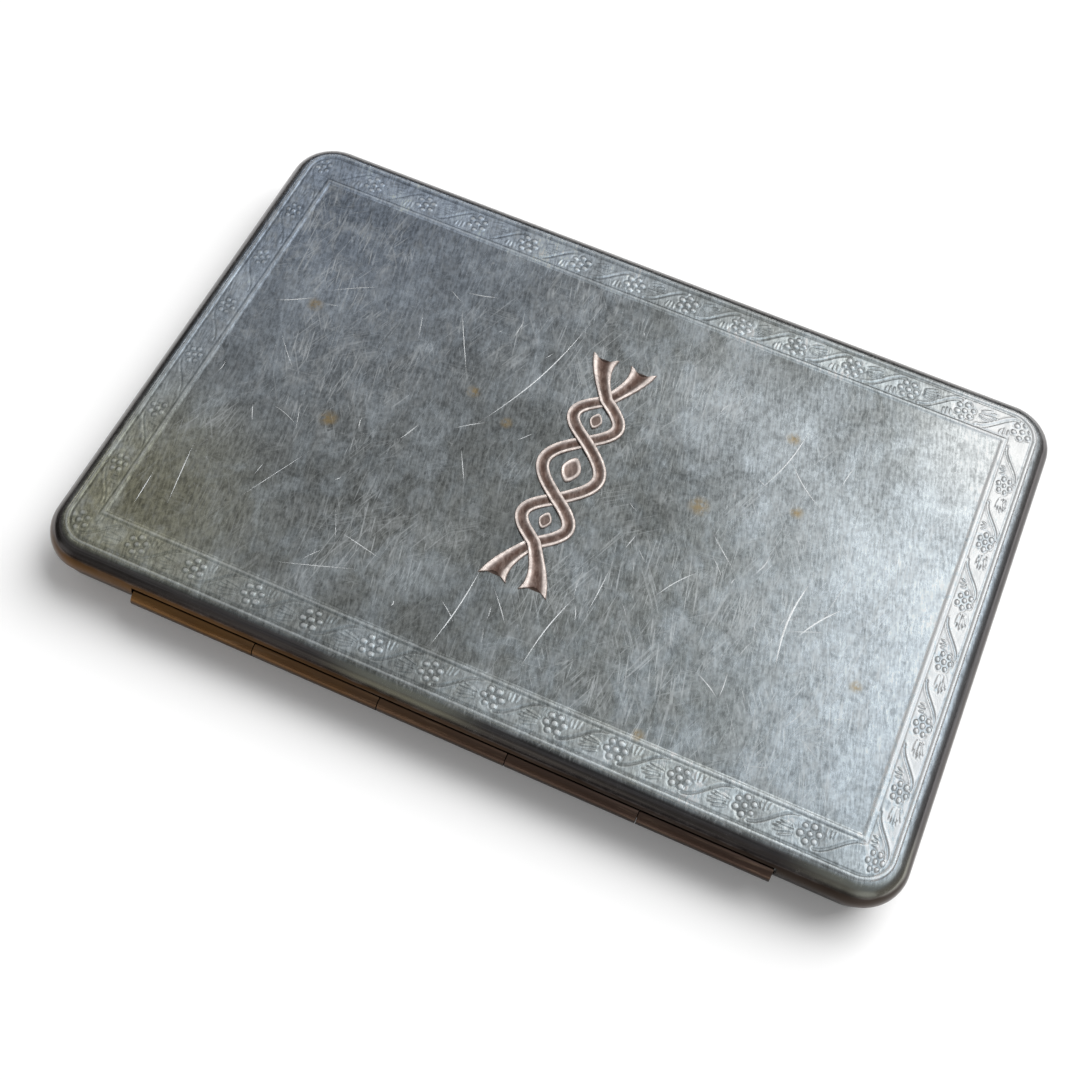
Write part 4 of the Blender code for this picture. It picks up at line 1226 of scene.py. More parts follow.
    def strip(self, name: str, x_range: tuple[float, float], y_range: tuple[float, float]) -> Piece:
        """One side of the border: the lid's height plus the relief, closed underneath.

        Args:
            name: its name.
            x_range: from and to along the case.
            y_range: from and to across it.

        Returns:
            The object.
        """
        places = [np.linspace(a, b, int(round((b - a) / self.step)) + 1) for a, b in (x_range, y_range)]
        x, y = np.meshgrid(*places)
        rise, cuts = self.relief(x, y)
        shell = Shell()
        numbers = shell.add(np.stack([x, y, CASE.lid_height(CASE.outline_depth(x, y)) + rise], -1))
        shell.skin(numbers[::-1])
        edge = np.concatenate([numbers[0, :-1], numbers[:-1, -1], numbers[-1, :0:-1], numbers[:0:-1, 0]])
        under = shell.add(shell.points[0][edge] - (0, 0, self.skirt))
        shell.skin(np.stack([edge, under]), close_columns=True)
        shell.cap(under[::-1])
        strip = shell.piece(name, 50)
        none = np.zeros(under.size)
        front, back = (np.interp(x, *table) for table in (self.rub_and_glare_front, self.rub_and_glare_back))
        store_values(strip, "relief", cuts, none)
        store_values(strip, "outer", np.ones(cuts.size + under.size))
        # The stored rubbed value lightens the strip: part rubbing, part painted glare.
        store_values(strip, "rubbed", front + (back - front) * ramp(y, -32, 64), none)
        return strip

    def build(self, metal: Material) -> None:
        """Makes the four sides.

        Args:
            metal: their material.
        """
        x_out, y_out = (half - self.outer_reach for half in CASE.half)
        x_in, y_in = (half - self.inner_reach for half in CASE.frame_half)
        for name, x_range, y_range in (
            ("border_front", (-x_out, x_out), (-y_out, -y_in)),
            ("border_back", (-x_out, x_out), (y_in, y_out)),
            ("border_left", (-x_out, -x_in), (-y_in, y_in)),
            ("border_right", (x_in, x_out), (-y_in, y_in)),
        ):
            finish_piece(self.strip(name, x_range, y_range), metal, Body.LID)


@dataclass
class LidScratches:
    """The deeper scratches of the lid's face: thin ridged slivers along slightly bowed lines.

    A long mark is both its ends, its bow and its share of the full width.
    """

    long_marks: tuple[tuple[float, ...], ...] = (
        (-6.5, 22.5, -13.2, 2.0, 0.9, 1.0), (32.2, -0.8, 32.0, -14.0, -0.8, 1.8),
        (7.4, -15.1, 5.2, -26.4, -0.4, 1.0), (-4.2, -16.2, -5.4, -28.5, 0.3, 1.0),
        (36.9, -3.0, 32.9, -9.1, -0.3, 1.4), (25.0, 20.0, 22.0, 8.0, 0.6, 1.0),
        (24.0, 14.5, 30.5, 8.6, -0.5, 1.0), (23.4, -18.1, 27.3, -20.4, 0.2, 0.8),
        (27.1, -16.4, 27.3, -20.4, 0.1, 0.7), (15.7, -11.4, 19.5, -5.7, 0.3, 0.8),
    )
    short_count: int = 90
    directions: tuple[int, ...] = (98, 112, 75, 60, 130, 20, 150)
    margin: float = 1.5
    width: float = 0.115
    height: float = 0.013
    sunk: float = -0.01
    steps: int = 24
    seed: int = 5

    def sliver(self, mark: Sequence[float]) -> Array:
        """One scratch: a low three-sided prism whose width tapers as a half sine.

        Args:
            mark: both ends, the bow and the share of the full width.

        Returns:
            Array of rings, points and x, y, z.
        """
        start, run = np.array(mark[:2]), np.array(mark[2:4]) - mark[:2]
        share = np.linspace(0, 1, self.steps)[:, None]
        side = np.array((-run[1], run[0])) / np.hypot(*run)
        middle = start + run * share + side * (mark[4] * np.sin(np.pi * share))
        half = self.width * mark[5] * np.sin(np.pi * np.clip(share, 0.04, 0.96))
        rings = np.empty((self.steps, 3, 3))
        section = ((-half, self.sunk), (0 * half, self.height), (half, self.sunk))
        for column, (reach, lift) in enumerate(section):
            rings[:, column, :2] = middle + side * reach
            rings[:, column, 2] = CASE.top + lift
        return rings

    def build(self, metal: Material) -> None:
        """Makes all the scratches as one piece: the long ones, and short ones strewn round the ornament.

        Args:
            metal: their material.
        """
        random = np.random.default_rng(self.seed)
        shell = Shell()
        for mark in self.long_marks:
            shell.loft(self.sliver(mark))
        x_half, y_half = (half - self.margin for half in CASE.frame_half)
        for _ in range(self.short_count):
            x, y = random.uniform(-x_half, x_half), random.uniform(-y_half, y_half)
            turn = math.radians(random.choice(self.directions) + random.normal(0, 9))
            reach = random.gamma(2.2, 0.9)
            dx, dy = reach * math.cos(turn), reach * math.sin(turn)
            inside = abs(x) + abs(dx) < x_half and abs(y) + abs(dy) < y_half
            if inside and not (abs(x) < 7 and abs(y - 0.7) < 20):
                bow, share = random.normal(0, 0.1), random.uniform(0.35, 0.8)
                shell.loft(self.sliver((x - dx, y - dy, x + dx, y + dy, bow, share)))
        finish_piece(shell.piece("lid_scratches", 5), metal, Body.LID)


@dataclass
class LidOrnament:
    """Two interlaced ribbons with fishtail ends and raised rims that pass over and under each other."""

    length: float = 35.7
    shift: float = 0.7
    eye_lengths: tuple[float, float] = (9.2, 6.8)
    eye_reaches: tuple[float, float] = (3.62, 2.95)
    flare_reach: float = 2.6
    widths: tuple[float, float] = (1.7, 3.6)
    notch: float = 1.1
    notch_run: float = 2.2
    low: float = 7.99
    levels: tuple[float, float, float] = (8.16, 8.25, 8.34)
    crossing_run: float = 1.5
    section: tuple[tuple[float, ...], ...] = (
        (-1, -1, -0.90, -0.68, -0.45, -0.15, 0.15, 0.45, 0.68, 0.90, 1, 1, 0.5, -0.5),
        (0, 0.5, 0.95, 1, 0.5, 0.36, 0.36, 0.5, 1, 0.95, 0.5, 0, 0, 0),
    )
    stud_section: tuple[tuple[float, ...], ...] = (
        (1.0, 1.0, 0.9, 0.78, 0.6, 0.1), (0.0, 0.6, 1.0, 0.95, 0.5, 0.5)
    )
    studs: tuple[tuple[float, float, float], ...] = ((0.0, 1.25, 1.9), (8.0, 0.8, 1.2), (-8.0, 0.8, 1.2))
    steps: int = 220

    def crossings(self) -> tuple[float, float]:
        """Where the ribbons cross, along the ornament from its middle."""
        return self.eye_lengths[0] / 2, self.eye_lengths[0] / 2 + self.eye_lengths[1]

    def path(self, along: Array) -> tuple[Array, Array]:
        """Middle line of a ribbon: a cosine eye in the middle, a sine eye on either side, and a flare.

        Args:
            along: places along the ornament.

        Returns:
            Places across it, and half widths.
        """
        reach, (first, second) = np.abs(along), self.crossings()
        share = ramp(reach, second, self.length / 2 - second)
        middle_eye = self.eye_reaches[0] * np.cos(np.pi * reach / self.eye_lengths[0])
        outer_eye = -self.eye_reaches[1] * np.sin(np.pi * (reach - first) / self.eye_lengths[1])
        flare = self.flare_reach * np.sin(np.pi / 2 * share)
        across = np.where(reach < first, middle_eye, np.where(reach < second, outer_eye, flare))
        return across, (self.widths[0] + (self.widths[1] - self.widths[0]) * share**2) / 2

    def level(self, along: Array, side: int) -> Array:
        """Height of one ribbon's face: up at the crossings where it passes over, down where it passes under.

        Args:
            along: places along the ornament.
            side: 1 or -1, the ribbon.

        Returns:
            Heights.
        """
        under, rest, over = self.levels
        first, second = self.crossings()
        height = np.full_like(along, rest)
        for crossing, sign in ((-second, 1), (-first, -1), (first, 1), (second, -1)):
            goal = over if sign * side > 0 else under
            height += (goal - rest) * np.exp(-(((along - crossing) / self.crossing_run) ** 4))
        return height

    def ribbon(self, side: int) -> Array:
        """One ribbon: a cross-section with raised rims and a sunken middle, carried along the path.

        Args:
            side: 1 or -1, the ribbon.

        Returns:
            Array of rings, points and x, y, z.
        """
        along = np.linspace(-self.length / 2, self.length / 2, self.steps)
        across, half = self.path(along)
        across = side * across
        slope = np.gradient(across, along)
        normal = np.stack([np.ones_like(slope), -slope]) / np.hypot(1, slope)
        top = self.level(along, side)
        bottom = self.low + ramp(top, self.levels[1], self.levels[2] - self.levels[1]) * (
            self.levels[0] + 0.02 - self.low
        )
        shares, rises = np.array(self.section)
        pull = ramp(np.abs(along), self.length / 2 - self.notch_run, self.notch_run) ** 2
        notch = np.sign(along)[:, None] * (self.notch * pull[:, None] * (1 - np.abs(shares)))
        x = across[:, None] + (normal[0] * half)[:, None] * shares
        y = along[:, None] + (normal[1] * half)[:, None] * shares - notch + self.shift
        return np.stack([x, y, bottom[:, None] + (top - bottom)[:, None] * rises], -1)

    def stud(self, along: float, half_width: float, half_length: float) -> Array:
        """A lozenge with a raised rim in the middle of an eye: the outline where the powers 1.5 sum to one.

        Args:
            along: its place along the ornament.
            half_width: its half width.
            half_length: its half length.

        Returns:
            Array of rings, points and x, y, z.
        """
        turn = np.linspace(0, 2 * np.pi, 48, endpoint=False)
        bow = 1 / (np.abs(np.cos(turn)) ** 1.5 + np.abs(np.sin(turn)) ** 1.5) ** (1 / 1.5)
        shares, rises = np.array(self.stud_section)[..., None]
        rings = polar(shares * bow, turn, self.low + (self.levels[1] - self.low) * rises)
        return rings * (half_width, half_length, 1) + (0, along + self.shift, 0)

    def build(self, metal: Material) -> None:
        """Makes the ornament, with 1 stored on its rims and 0 in its sunken parts.

        Args:
            metal: its material.
        """
        shell, rims = Shell(), []
        parts = [(self.ribbon(side), np.array(self.section[1])) for side in (1, -1)]
        parts += [(self.stud(*stud), np.array(self.stud_section[1])[:, None]) for stud in self.studs]
        for rings, rises in parts:
            shell.loft(rings)
            rims.append(np.broadcast_to(np.clip((rises - 0.42) * 2.0, 0, 1), rings.shape[:2]))
        plait = shell.piece("plaited_ribbons", 30)
        store_values(plait, "relief", *rims)
        finish_piece(plait, metal, Body.LID, "lid_ornament")


@dataclass
class Hinge:
    """Five tubes on a wire along the front edge, each with softened ends."""

    radius: float = 1.1
    bore: float = 0.65
    gap: float = 0.10
    chamfer: float = 0.04
    steps: int = 48
    nodes: tuple[str, ...] = (
        "base_knuckle_left", "lid_knuckle_left", "base_knuckle_centre",
        "lid_knuckle_right", "base_knuckle_right",
    )

    def build(self, metal: Material) -> None:
        """Makes the tubes, each a closed profile turned about the hinge's axis, and dresses the wire.

        Args:
            metal: their material.
        """
        length = (2 * CASE.hinge_half - 4 * self.gap) / 5
        edge, soft, radius = self.chamfer, 0.3 * self.chamfer, self.radius
        half = [(self.bore, 0), (radius - edge, 0), (radius - soft, soft), (radius, edge)]
        for index, node in enumerate(self.nodes):
            low = -CASE.hinge_half + index * (length + self.gap)
            high = low + length
            profile = [(reach, low + up) for reach, up in half]
            profile += [(reach, high - up) for reach, up in half[::-1]]
            shell = Shell()
            rings = CASE.on_hinge(revolved(profile, self.steps))
            shell.skin(shell.add(rings)[::-1], close_rows=True, close_columns=True)
            body = Body.BASE if node.startswith("base") else Body.LID
            finish_piece(shell.piece(node.replace("knuckle", "hinge_tube")), metal, body, node)
        dress_node("hinge_pin", metal)


@dataclass
class MirrorFrame:
    """The silver frame of the mirror: an upright wall and a lip with a milled bead."""

    node: str = "mirror_frame"
    corner: float = 3.0
    wall: float = 0.5
    lip: float = 1.6
    lip_sheet: float = 0.3
    bead_middle: float = 0.66
    bead_half: float = 0.34
    bead_depth: float = 0.13
    notch_pitch: float = 0.95
    notch_depth: float = 0.07
    arc_steps: int = 40
    side_steps: int = 800

    def build(self, metal: Material) -> None:
        """Makes the frame: a closed section carried round a rounded rectangle, its bead notched by a cosine.

        Args:
            metal: its material.
        """
        low, high = node_box(self.node)
        floor, under = low[2], low[2] + self.lip_sheet
        bead = np.linspace(-1, 1, 9)
        dome = np.sqrt(np.maximum(1 - bead**2, 0))
        section = np.concatenate([
            [(self.wall, high[2]), (0, high[2]), (0, floor + 0.1), (0.08, floor), (0.24, floor)],
            np.stack([self.bead_middle + bead * self.bead_half, floor + self.bead_depth * (1 - dome)], -1),
            [(1.08, floor), (self.lip - 0.16, floor), (self.lip, floor + 0.08), (self.lip, under)],
            [(self.wall, under)],
        ])
        rings = rounded_rings((high - low)[:2] / 2, self.corner, section, self.arc_steps, self.side_steps)
        guide = rings[9]
        steps = np.linalg.norm(np.diff(guide, axis=0, append=guide[:1]), axis=1)
        along = np.concatenate([[0], np.cumsum(steps)[:-1]]) / steps.sum()
        count = round(steps.sum() / self.notch_pitch)
        notch = (0.5 - 0.5 * np.cos(2 * np.pi * count * along)) ** 3
        rings[5:14, :, 2] += self.notch_depth * notch * dome[:, None]
        rings[..., :2] += (high + low)[:2] / 2
        shell = Shell()
        shell.skin(shell.add(rings), close_rows=True, close_columns=True)
        finish_piece(shell.piece("milled_mirror_frame"), metal, Body.LID, self.node)


@dataclass
class GiltPan:
    """A pan drawn from sheet, with rounded corners and a rolled rim."""

    node: str
    rim: float = 1.0
    sheet: float = 0.4
    fillet: float = 0.9
    roll: float = 0.15
    pole: float = 0.4
    steps: int = 160

    def build(self, metal: Material) -> None:
        """Makes the pan: a section turned about its axis.

        Args:
            metal: its material.
        """
        low, high = node_box(self.node)
        middle, edge = (high + low) / 2, (high - low)[0] / 2
        outer, inner = edge - self.rim, edge - self.rim - self.sheet
        brim, floor = high[2] - self.roll, low[2] + self.sheet
        fillet, inside = self.fillet, self.fillet - self.sheet
        section = np.concatenate([
            [(self.pole, low[2])],
            arc((outer - fillet, low[2] + fillet), fillet, -90, 90, 8),
            [(outer, brim - self.roll)],
            arc((edge - self.roll, brim), self.roll, -90, 180, 8),
            [(inner + 0.35, high[2] - 0.02), (inner + 0.1, high[2] - 0.08), (inner, high[2] - 0.25)],
            arc((inner - inside, floor + inside), inside, -90, 90, 8)[::-1],
            [(self.pole, floor)],
        ])
        pan = solid(f"rolled_{self.node}", revolved(section, self.steps) + (*middle[:2], 0))
        finish_piece(pan, metal, Body.BASE, self.node)


@dataclass
class Puff:
    """A velour puff: crowned, seamed round its edge, and with a satin band across its top if it has one."""

    node: str
    band_width: float = 0.0
    band_lift: float = 0.26
    rings: int = 90
    steps: int = 360
    puckers: int = 84
    pile: float = 0.022
    band_sheet: float = 0.08
    seed: int = 3
    seam: float = 7.0
    shares: tuple[float, ...] = (
        0.04, 0.0, 0.06, 0.16, 0.27, 0.36, 0.41, 0.45, 0.49, 0.54, 0.63, 0.78, 0.88, 0.94, 0.985, 1.0,
    )
    insets: tuple[float, ...] = (1.4, 0.45, 0.12, 0.02, 0.3, 0.06, 0.0, 0.06, 0.34, 0.22, 0.62, 1.5, 3.2)

    def section(self, radius: float, low: float, high: float) -> tuple[Array, Array]:
        """Half section from the underside's middle, round the seam, to the crown.

        Args:
            radius: the puff's radius.
            low: its lowest height.
            high: its highest height.

        Returns:
            Points of radius and height, and how close each is to the seam, from 0 to 1.
        """
        insets = (radius - 0.3, *self.insets, 0.45 * radius, radius - 0.3)
        ends = np.arange(len(insets))
        dense = np.interp(np.linspace(0, 1, self.rings), (0, 0.12, 0.5, 1), (0, 1, 11, len(insets) - 1))
        reach = radius - np.interp(dense, ends, insets)
        height = low + (high - low) * np.interp(dense, ends, self.shares)
        return np.stack([reach, height], -1), bell(dense - self.seam, 3.2)

    def build(self, velour: Material, satin: Material) -> None:
        """Makes the puff and its band.

        The seam is drawn in by a cosine of the turn, the crown dips by a product of two cosines, and every
        point is moved a little at random as pile.

        Args:
            velour: material of the puff.
            satin: material of the band.
        """
        random = np.random.default_rng(self.seed)
        low, high = node_box(self.node)
        middle, radius = (high + low) / 2, (high - low)[0] / 2 - 0.06
        section, seam = self.section(radius, low[2] + 0.02, high[2] - 0.06)
        rings = revolved(section, self.steps)
        turn = np.linspace(0, 2 * np.pi, self.steps, endpoint=False)
        draw = 0.05 * (np.cos(self.puckers * turn) - 1) * seam[:, None]
        swell = 0.5 + 0.5 * np.cos(3 * turn + 0.6) * np.cos(2 * turn - 0.4)
        crown = np.clip(section[:, 1] - middle[2], 0, None)[:, None] / (high[2] - middle[2])
        calm = np.clip(section[:, 0] / 2, 0.05, 1)[:, None, None]
        rings += draw[..., None] * polar(1, turn, 0) + random.normal(0, self.pile, rings.shape) * calm
        rings[..., 2] -= 0.09 * swell * crown * (1 - (section[:, 0] / radius) ** 2)[:, None]
        rings[..., 2] = np.clip(rings[..., 2], low[2], high[2])
        puff = solid(f"velour_{self.node}", rings + (*middle[:2], 0), 180)
        finish_piece(puff, velour, Body.BASE, self.node)
        if self.band_width:
            self.band(middle, radius, section[len(section) // 2:], satin, puff)

    def band(self, middle: Array, radius: float, crown: Array, satin: Material, puff: Piece) -> None:
        """Makes the satin band: a thin strip that rises over the crown and dips to the seam at its ends.

        Args:
            middle: the puff's middle.
            radius: the puff's radius.
            crown: the upper part of the puff's half section.
            satin: material of the band.
            puff: the puff that it lies on.
        """
        width = self.band_width
        reach = math.sqrt((radius - 0.5) ** 2 - (width / 2) ** 2)
        along = np.linspace(-reach, reach, 160)
        x, y = np.meshgrid(along, np.linspace(-0.5, 0.5, 33) * width, indexing="ij")
        ground = np.interp(np.hypot(x, y), *crown[np.argsort(crown[:, 0])].T)
        rise = np.cos(np.pi * x / (2 * reach))
        fold = 0.03 * np.sin(2 * np.pi * (y / width + 0.15 * x / reach))
        z = ground + (self.band_lift * rise**0.7 + 0.03) + fold * rise
        top = z + self.band_sheet + 0.025 * (np.abs(y) > 0.44 * width)
        under, over = np.stack([x, y, z], -1), np.stack([x, y, top], -1)[:, ::-1]
        rings = np.concatenate([under, over], 1) + (*middle[:2], 0)
        band = solid(self.node.replace("puff", "puff_band"), rings)
        finish_piece(band, satin, Body.BASE)


@dataclass
class RougeCover:
    """The swivelling cover: a disc with an ear, chased with a turning rosette."""

    node: str = "rouge_cover"
    lap: float = 1.5
    ear_radius: float = 2.4
    ear_reach: float = 17.0
    ear_direction: float = math.radians(-60)
    hole: float = 1.05
    petals: int = 16
    rosette: float = 10.6
    depth: float = 0.09
    bevel: float = 0.09
    lines: tuple[tuple[float, float], ...] = ((2.7, 0.06), (11.5, 0.06), (12.5, 0.06), (13.1, 0.04))
    radial_steps: int = 80
    steps: int = 600

    def relief(self, reach: Array, turn: Array) -> Array:
        """Depth of the chasing: swirled petals in a ring, a beaded middle and plain lines.

        Args:
            reach: distances from the middle.
            turn: angles round it.

        Returns:
            Relief in millimetres, below 0 in the cuts.
        """
        petals = np.abs(np.sin(self.petals / 2 * (turn + 0.09 * reach)))
        field = ramp(reach, 3.0, 0.6) * np.clip((self.rosette - reach) / 0.5, 0, 1)
        scallop = np.clip((self.rosette - 1.4 * (1 - petals) - reach) / 0.4, 0, 1)
        relief = -self.depth * field * scallop * (1 - petals**0.6)
        for radius, depth in self.lines:
            relief -= depth * bell(reach - radius, 0.13)
        beads = np.cos(10 * turn) * bell(reach - 1.9, 0.4)
        ring_beads = np.cos(60 * turn) * bell(reach - 12.0, 0.22)
        relief += 0.03 * (beads - 1) * (reach < 3)
        return relief + 0.025 * (ring_beads - 1) * (np.abs(reach - 12) < 0.4)

    def edge(self, radius: float, ear: Array, turn: Array) -> Array:
        """Distance of the outline from the disc's middle: the disc, and the ear joined to it by tangents.

        Args:
            radius: the disc's radius.
            ear: the ear's middle.
            turn: directions from the disc's middle.

        Returns:
            Distances.
        """
        start = self.ear_direction
        lean = math.acos((radius - self.ear_radius) / self.ear_reach)
        disc = polar(radius, np.linspace(start + lean, start + 2 * np.pi - lean, 720), 0)
        tip = polar(self.ear_radius, np.linspace(start - lean, start + lean, 240), 0) + (*ear, 0)
        outline = np.concatenate([disc, tip, disc[:1]])[:, :2]
        shares = np.linspace(0, 1, 12, endpoint=False)[:, None, None]
        outline = (outline[:-1] * (1 - shares) + outline[1:] * shares).reshape(-1, 2)
        angles = np.arctan2(outline[:, 1], outline[:, 0])
        order = np.argsort(angles)
        return np.interp(turn, angles[order], np.hypot(*outline[order].T), period=2 * np.pi)

    def build(self, metal: Material) -> None:
        """Makes the cover as rings that follow its outline, chased on top and drilled for the rivet.

        Args:
            metal: its material.
        """
        low, high = node_box(self.node)
        pan_low, pan_high = node_box("rouge_pan")
        middle = (pan_low + pan_high)[:2] / 2
        radius = (pan_high - pan_low)[0] / 2 - 1 + self.lap
        ear = polar(self.ear_reach, self.ear_direction, 0)[:2]
        turn = np.linspace(-np.pi, np.pi, self.steps, endpoint=False)
        edge, bevel = self.edge(radius, ear, turn), self.bevel
        reach = (edge - bevel) * np.linspace(1, 0.01, self.radial_steps)[:, None]
        relief = self.relief(reach, turn)
        levels = ((bevel, low[2]), (0.0, low[2] + bevel), (0.0, high[2] - bevel))
        sides = np.stack([polar(edge - inset, turn, height) for inset, height in levels])
        rings = np.concatenate([sides, polar(reach, turn, high[2] + relief)])
        cover = solid("chased_rouge_cover", rings + (*middle, 0))
        store_values(cover, "relief", np.zeros(3 * self.steps), relief)
        drill = revolved([(self.hole, low[2] - 1), (self.hole, high[2] + 1)], 48) + (*(middle + ear), 0)
        cut(cover, [solid("rivet_hole", drill)])
        finish_piece(cover, metal, Body.COVER, self.node)


@dataclass
class ThumbButton:
    """The push button with thumb flutes cut into its pad."""

    node: str = "push_button"
    flutes: int = 9
    pitch: float = 0.86
    radius: float = 0.24
    stand_off: float = 0.08

    def build(self, metal: Material) -> None:
        """Copies the button and cuts upright flutes into its outer face.

        Args:
            metal: its material.
        """
        low, high = node_box(self.node)
        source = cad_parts[self.node]
        mesh = source.data.copy()
        mesh.name = "fluted_push_button"
        mesh.transform(source.matrix_world)
        shape = bmesh.new()
        shape.from_mesh(mesh)
        bmesh.ops.remove_doubles(shape, verts=shape.verts, dist=0.002 * MM)
        shape.to_mesh(mesh)
        shape.free()
        flute = revolved([(self.radius, low[2] - 0.5), (self.radius, high[2] + 0.5)], 24)
        places = (np.arange(self.flutes) - (self.flutes - 1) / 2) * self.pitch
        tools = [solid(f"flute_{x:.2f}", flute + (x, high[1] + self.stand_off, 0)) for x in places]
        finish_piece(cut(placed(mesh), tools), metal, Body.BUTTON, self.node)


@dataclass
class LeafSpring:
    """The bowed leaf behind the button, in two halves that meet in its middle."""

    node: str = "catch_spring"
    sheet: float = 0.25
    bevel: float = 0.05
    steps: int = 45
    held: float = 8.5
    pushed: float = 4.6

    def half_leaf(self, side: int) -> Piece:
        """One half: a thin bevelled rectangle along a parabola, whose middle stands towards the button.

        Args:
            side: -1 for the left half, 1 for the right one.

        Returns:
            The object.
        """
        low, high = node_box(self.node)
        x = np.linspace(high[0], 0, self.steps)
        y = high[1] - self.sheet / 2 - (high[1] - low[1] - self.sheet) * (x / high[0]) ** 2
        across, rise, edge = self.sheet / 2, (high[2] - low[2]) / 2, self.bevel
        top = [(across, rise - edge), (across - edge, rise), (edge - across, rise), (-across, rise - edge)]
        ring = np.concatenate([top, -np.array(top)])
        rings = np.zeros((self.steps, len(ring), 3))
        rings[..., 0] = side * x[:, None]
        rings[..., 1] = y[:, None] + ring[:, 0]
        rings[..., 2] = (low[2] + high[2]) / 2 + ring[:, 1]
        return solid("spring_leaf_left" if side < 0 else "spring_leaf_right", rings)

    def build(self, metal: Material) -> None:
        """Makes both halves.

        Args:
            metal: their material.
        """
        for side in (-1, 1):
            piece = self.half_leaf(side)
            dress(piece.data, metal)
            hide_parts(self.node)
            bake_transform(piece)
            LOG.info("%s: bends between base and button", piece.name)


# Studio. Lengths are in metres.


@dataclass(frozen=True)
class CardGlow:
    """Glow of a studio card: an even level with soft round glows: their place, radius, edge and colour."""

    base: Colour
    glows: tuple[tuple[Colour, float, float, Colour], ...] = ()

    def material(self, name: str) -> Material:
        """Builds the card's material.

        Args:
            name: its name.

        Returns:
            The material.
        """
        recipe = Recipe(name)
        colour: object = self.base
        for place, radius, edge, glow in self.glows:
            spot = recipe.near([value / MM for value in place], radius / MM, edge / MM)
            colour = recipe.mix(spot, colour, glow)
        surface = recipe.tree.nodes["Material Output"].inputs["Surface"]
        recipe.feed(surface, recipe.node("Emission", {"Color": colour}))
        return recipe.material


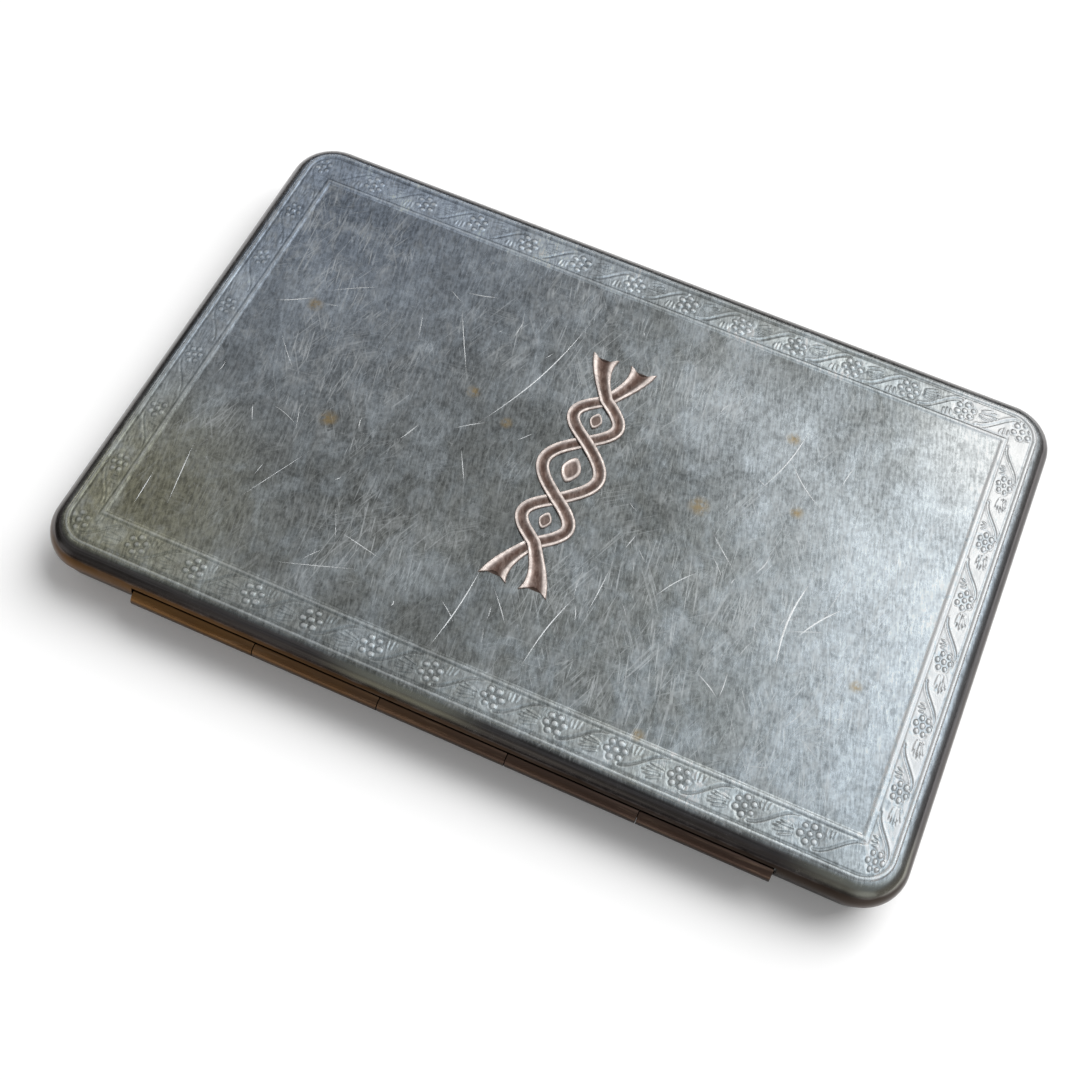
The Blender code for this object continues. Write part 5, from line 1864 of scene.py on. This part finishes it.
@dataclass
class Studio:
    """Pale floor, white surroundings, a soft lamp and the cards that polished metal mirrors."""

    lens: float = 53.0
    camera_place: tuple[float, float, float] = (0.02883, -0.10037, 0.1734)
    camera_axes: tuple[tuple[float, float, float], ...] = (
        (0.91423, -0.37698, 0.14853), (0.40037, 0.78413, -0.47417), (0.06229, 0.49297, 0.86782),
    )
    floor_half: float = 3.0
    floor_glow: float = 0.10
    floor_fade: tuple[float, float] = (400.0, 1500.0)
    world_light: float = 0.30
    lamp_place: tuple[float, float, float] = (0.75, 1.05, 1.55)
    lamp_size: float = 1.9
    lamp_power: float = 54.0
    ceiling: float = 0.4
    foot: float = 0.02
    sides: tuple[float, float, float, float] = (-0.85, -0.42, 0.6, 1.1)

    def camera(self) -> None:
        """Sets the camera that was fitted to the photograph."""
        data = bpy.data.cameras.new("camera")
        data.sensor_width, data.lens, data.clip_start, data.clip_end = 36, self.lens, 0.005, 50
        camera = bpy.data.objects.new("camera", data)
        camera.matrix_world = Matrix.Translation(self.camera_place) @ Matrix(self.camera_axes).to_4x4()
        bpy.context.scene.collection.objects.link(camera)
        bpy.context.scene.camera = camera

    def world(self) -> None:
        """White where it is seen or mirrored, and a plain level where it lights."""
        world = bpy.data.worlds.new("surroundings")
        bpy.context.scene.world = world
        nodes = Nodes(world)
        camera, glossy, through = (
            nodes.node("LightPath", {}, f"Is {kind} Ray") for kind in ("Camera", "Glossy", "Transmission")
        )
        seen = nodes.math("MAXIMUM", nodes.math("MAXIMUM", camera, glossy), through)
        background = nodes.tree.nodes["Background"]
        nodes.feed(background.inputs["Color"], (1, 1, 1))
        nodes.feed(background.inputs["Strength"], seen.over(0, 1, self.world_light, 1.0))

    def quad(self, name: str, corners: Sequence[Sequence[float]], material: Material) -> Piece:
        """A flat four-cornered piece of the studio.

        Args:
            name: its name.
            corners: its corners, two and two.
            material: its material.

        Returns:
            The object.
        """
        shell = Shell()
        shell.skin(shell.add(np.array(corners, float).reshape(2, 2, 3) / MM))
        piece = shell.piece(name)
        dress(piece.data, material)
        return piece

    def floor(self) -> None:
        """A pale floor that keeps the shadow and fades into the white background far away."""
        recipe = Recipe("pale_floor")
        away = recipe.node("VectorMath", {0: recipe.place}, "Value", operation="LENGTH")
        camera = recipe.node("LightPath", {}, "Is Camera Ray")
        glow = camera * away.over(*self.floor_fade, self.floor_glow, 1.0)
        pale = recipe.finish((0.92, 0.92, 0.92), 0.9, 0.0, emission_color=(1, 1, 1), emission_strength=glow)
        recipe.shader.inputs["Specular IOR Level"].default_value = 0.0
        half = self.floor_half
        corners = [(-half, half, 0), (half, half, 0), (-half, -half, 0), (half, -half, 0)]
        self.quad("floor", corners, pale)

    def lamp(self) -> None:
        """A soft square lamp behind the case that polished metal doesn't mirror."""
        data = bpy.data.lights.new("key", "AREA")
        data.shape, data.size, data.size_y = "RECTANGLE", self.lamp_size, self.lamp_size
        data.energy = self.lamp_power
        lamp = bpy.data.objects.new("key", data)
        lamp.location = self.lamp_place
        lamp.rotation_mode = "QUATERNION"
        lamp.rotation_quaternion = lamp.location.to_track_quat("Z", "Y")
        lamp.visible_glossy = False
        bpy.context.scene.collection.objects.link(lamp)

    def card(self, name: str, corners: Sequence[Sequence[float]], glow: CardGlow) -> None:
        """A card that only polished surfaces mirror.

        Args:
            name: its name.
            corners: its corners, two and two.
            glow: how it glows.
        """
        card = self.quad(name, corners, glow.material(name))
        for ray in ("camera", "diffuse", "shadow", "transmission", "volume_scatter"):
            setattr(card, f"visible_{ray}", False)

    def build(self) -> None:
        """Sets up the camera, the floor, the lamp and the cards."""
        self.camera()
        self.world()
        self.floor()
        self.lamp()
        (left, front, right, back), top, foot = self.sides, self.ceiling, self.foot
        sky = CardGlow((0.25, 0.262, 0.268), (
            ((-0.15, 0.30, top), 0.12, 0.25, (0.42, 0.42, 0.42)),
            ((0.34, 0.22, top), 0.16, 0.28, (0.86, 0.92, 0.97)),
            ((0.15, 0.36, top), 0.06, 0.15, (1.25, 1.25, 1.23)),
        ))
        dark = CardGlow((0.17, 0.165, 0.165), (
            ((-0.06, front, 0.22), 0.02, 0.16, (0.34, 0.33, 0.29)),
            ((0.42, front, 0.19), 0.12, 0.22, (0.46, 0.47, 0.48)),
            ((-0.55, front, 0.19), 0.12, 0.22, (0.46, 0.47, 0.48)),
        ))
        edge, bright_edge = CardGlow((0.11, 0.105, 0.105)), CardGlow((0.20, 0.19, 0.185))
        self.card("sky_card", [(x, y, top) for y in (front, back) for x in (left, right)], sky)
        for name, start, end, glow in (
            ("front_card", (left, front), (right, front), dark),
            ("right_card", (right, front), (right, back), bright_edge),
            ("left_card", (left, front), (left, back), edge),
            ("back_card", (left, back), (right, back), edge),
        ):
            self.card(name, [(*start, foot), (*end, foot), (*start, top), (*end, top)], glow)


def main() -> None:
    """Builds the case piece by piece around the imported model."""
    logging.basicConfig(level=logging.INFO, format="%(message)s")
    bpy.context.scene.view_settings.view_transform = "Standard"
    Studio().build()
    spots = (
        (-39.8, 9.5, 1.4), (-30.1, -5.5, 1.6), (-15.7, 6.1, 1.2), (-10.0, 3.6, 1.1), (16.2, 2.8, 1.8),
        (27.4, 7.2, 1.2), (23.5, 17.2, 1.3), (41.3, -12.0, 1.1), (20.6, -28.4, 1.2),
    )
    lid_silver = WornSilver("lid_silver", tone_heights=(6.9, 7.5), spots=spots).material()
    base_silver = WornSilver("base_silver", tone_heights=(4.4, 6.5), rubbed=0.5).material()
    inner_silver = WornSilver(
        "inner_silver", colour=(0.84, 0.85, 0.85), cool=(0.83, 0.85, 0.87), warm=(0.79, 0.79, 0.76),
        olive=(0.80, 0.79, 0.74), polished=(0.88, 0.89, 0.89), rubbed=0.3, roughness=0.22,
    ).material()
    scratch = SoftMetal("scratch_burr", (0.86, 0.88, 0.89), (0.66, 0.68, 0.68), 0.25, 0.45).material()
    gilt = SoftMetal("gilt", (0.94, 0.70, 0.38), (0.78, 0.55, 0.28), 0.25).material()
    steel = SoftMetal("spring_steel", (0.36, 0.36, 0.38), (0.24, 0.24, 0.26), 0.3).material()
    button = SoftMetal("button_silver", (0.34, 0.34, 0.34), (0.17, 0.165, 0.16), 0.3).material()
    CaseShells().build(lid_silver, base_silver)
    LidBorder().build(lid_silver)
    LidScratches().build(scratch)
    LidOrnament().build(RimmedGold().material())
    Hinge().build(TonedTube().material())
    MirrorFrame().build(inner_silver)
    RougeCover().build(inner_silver)
    ThumbButton().build(button)
    GiltPan("powder_pan").build(gilt)
    GiltPan("rouge_pan").build(gilt)
    LeafSpring().build(steel)
    for node in ("base_bezel", "rouge_cover_rivet", "catch_strike"):
        dress_node(node, inner_silver)
    for node, finish in (
        ("tray_deck", EngineTurned()), ("mirror", SilveredGlass()), ("mirror_backing", PlainCard()),
        ("powder_cake", Pressed("face_powder", (0.80, 0.60, 0.47), (0.90, 0.74, 0.62))),
        ("rouge_cake", Pressed("rouge", (0.55, 0.09, 0.11), (0.72, 0.22, 0.22))),
    ):
        dress_node(node, finish.material())
    velour, satin = Velour().material(), Satin().material()
    Puff("powder_puff", band_width=10.5).build(velour, satin)
    Puff("rouge_puff", rings=70, steps=260, puckers=48).build(velour, satin)


if __name__ == "__main__":
    main()
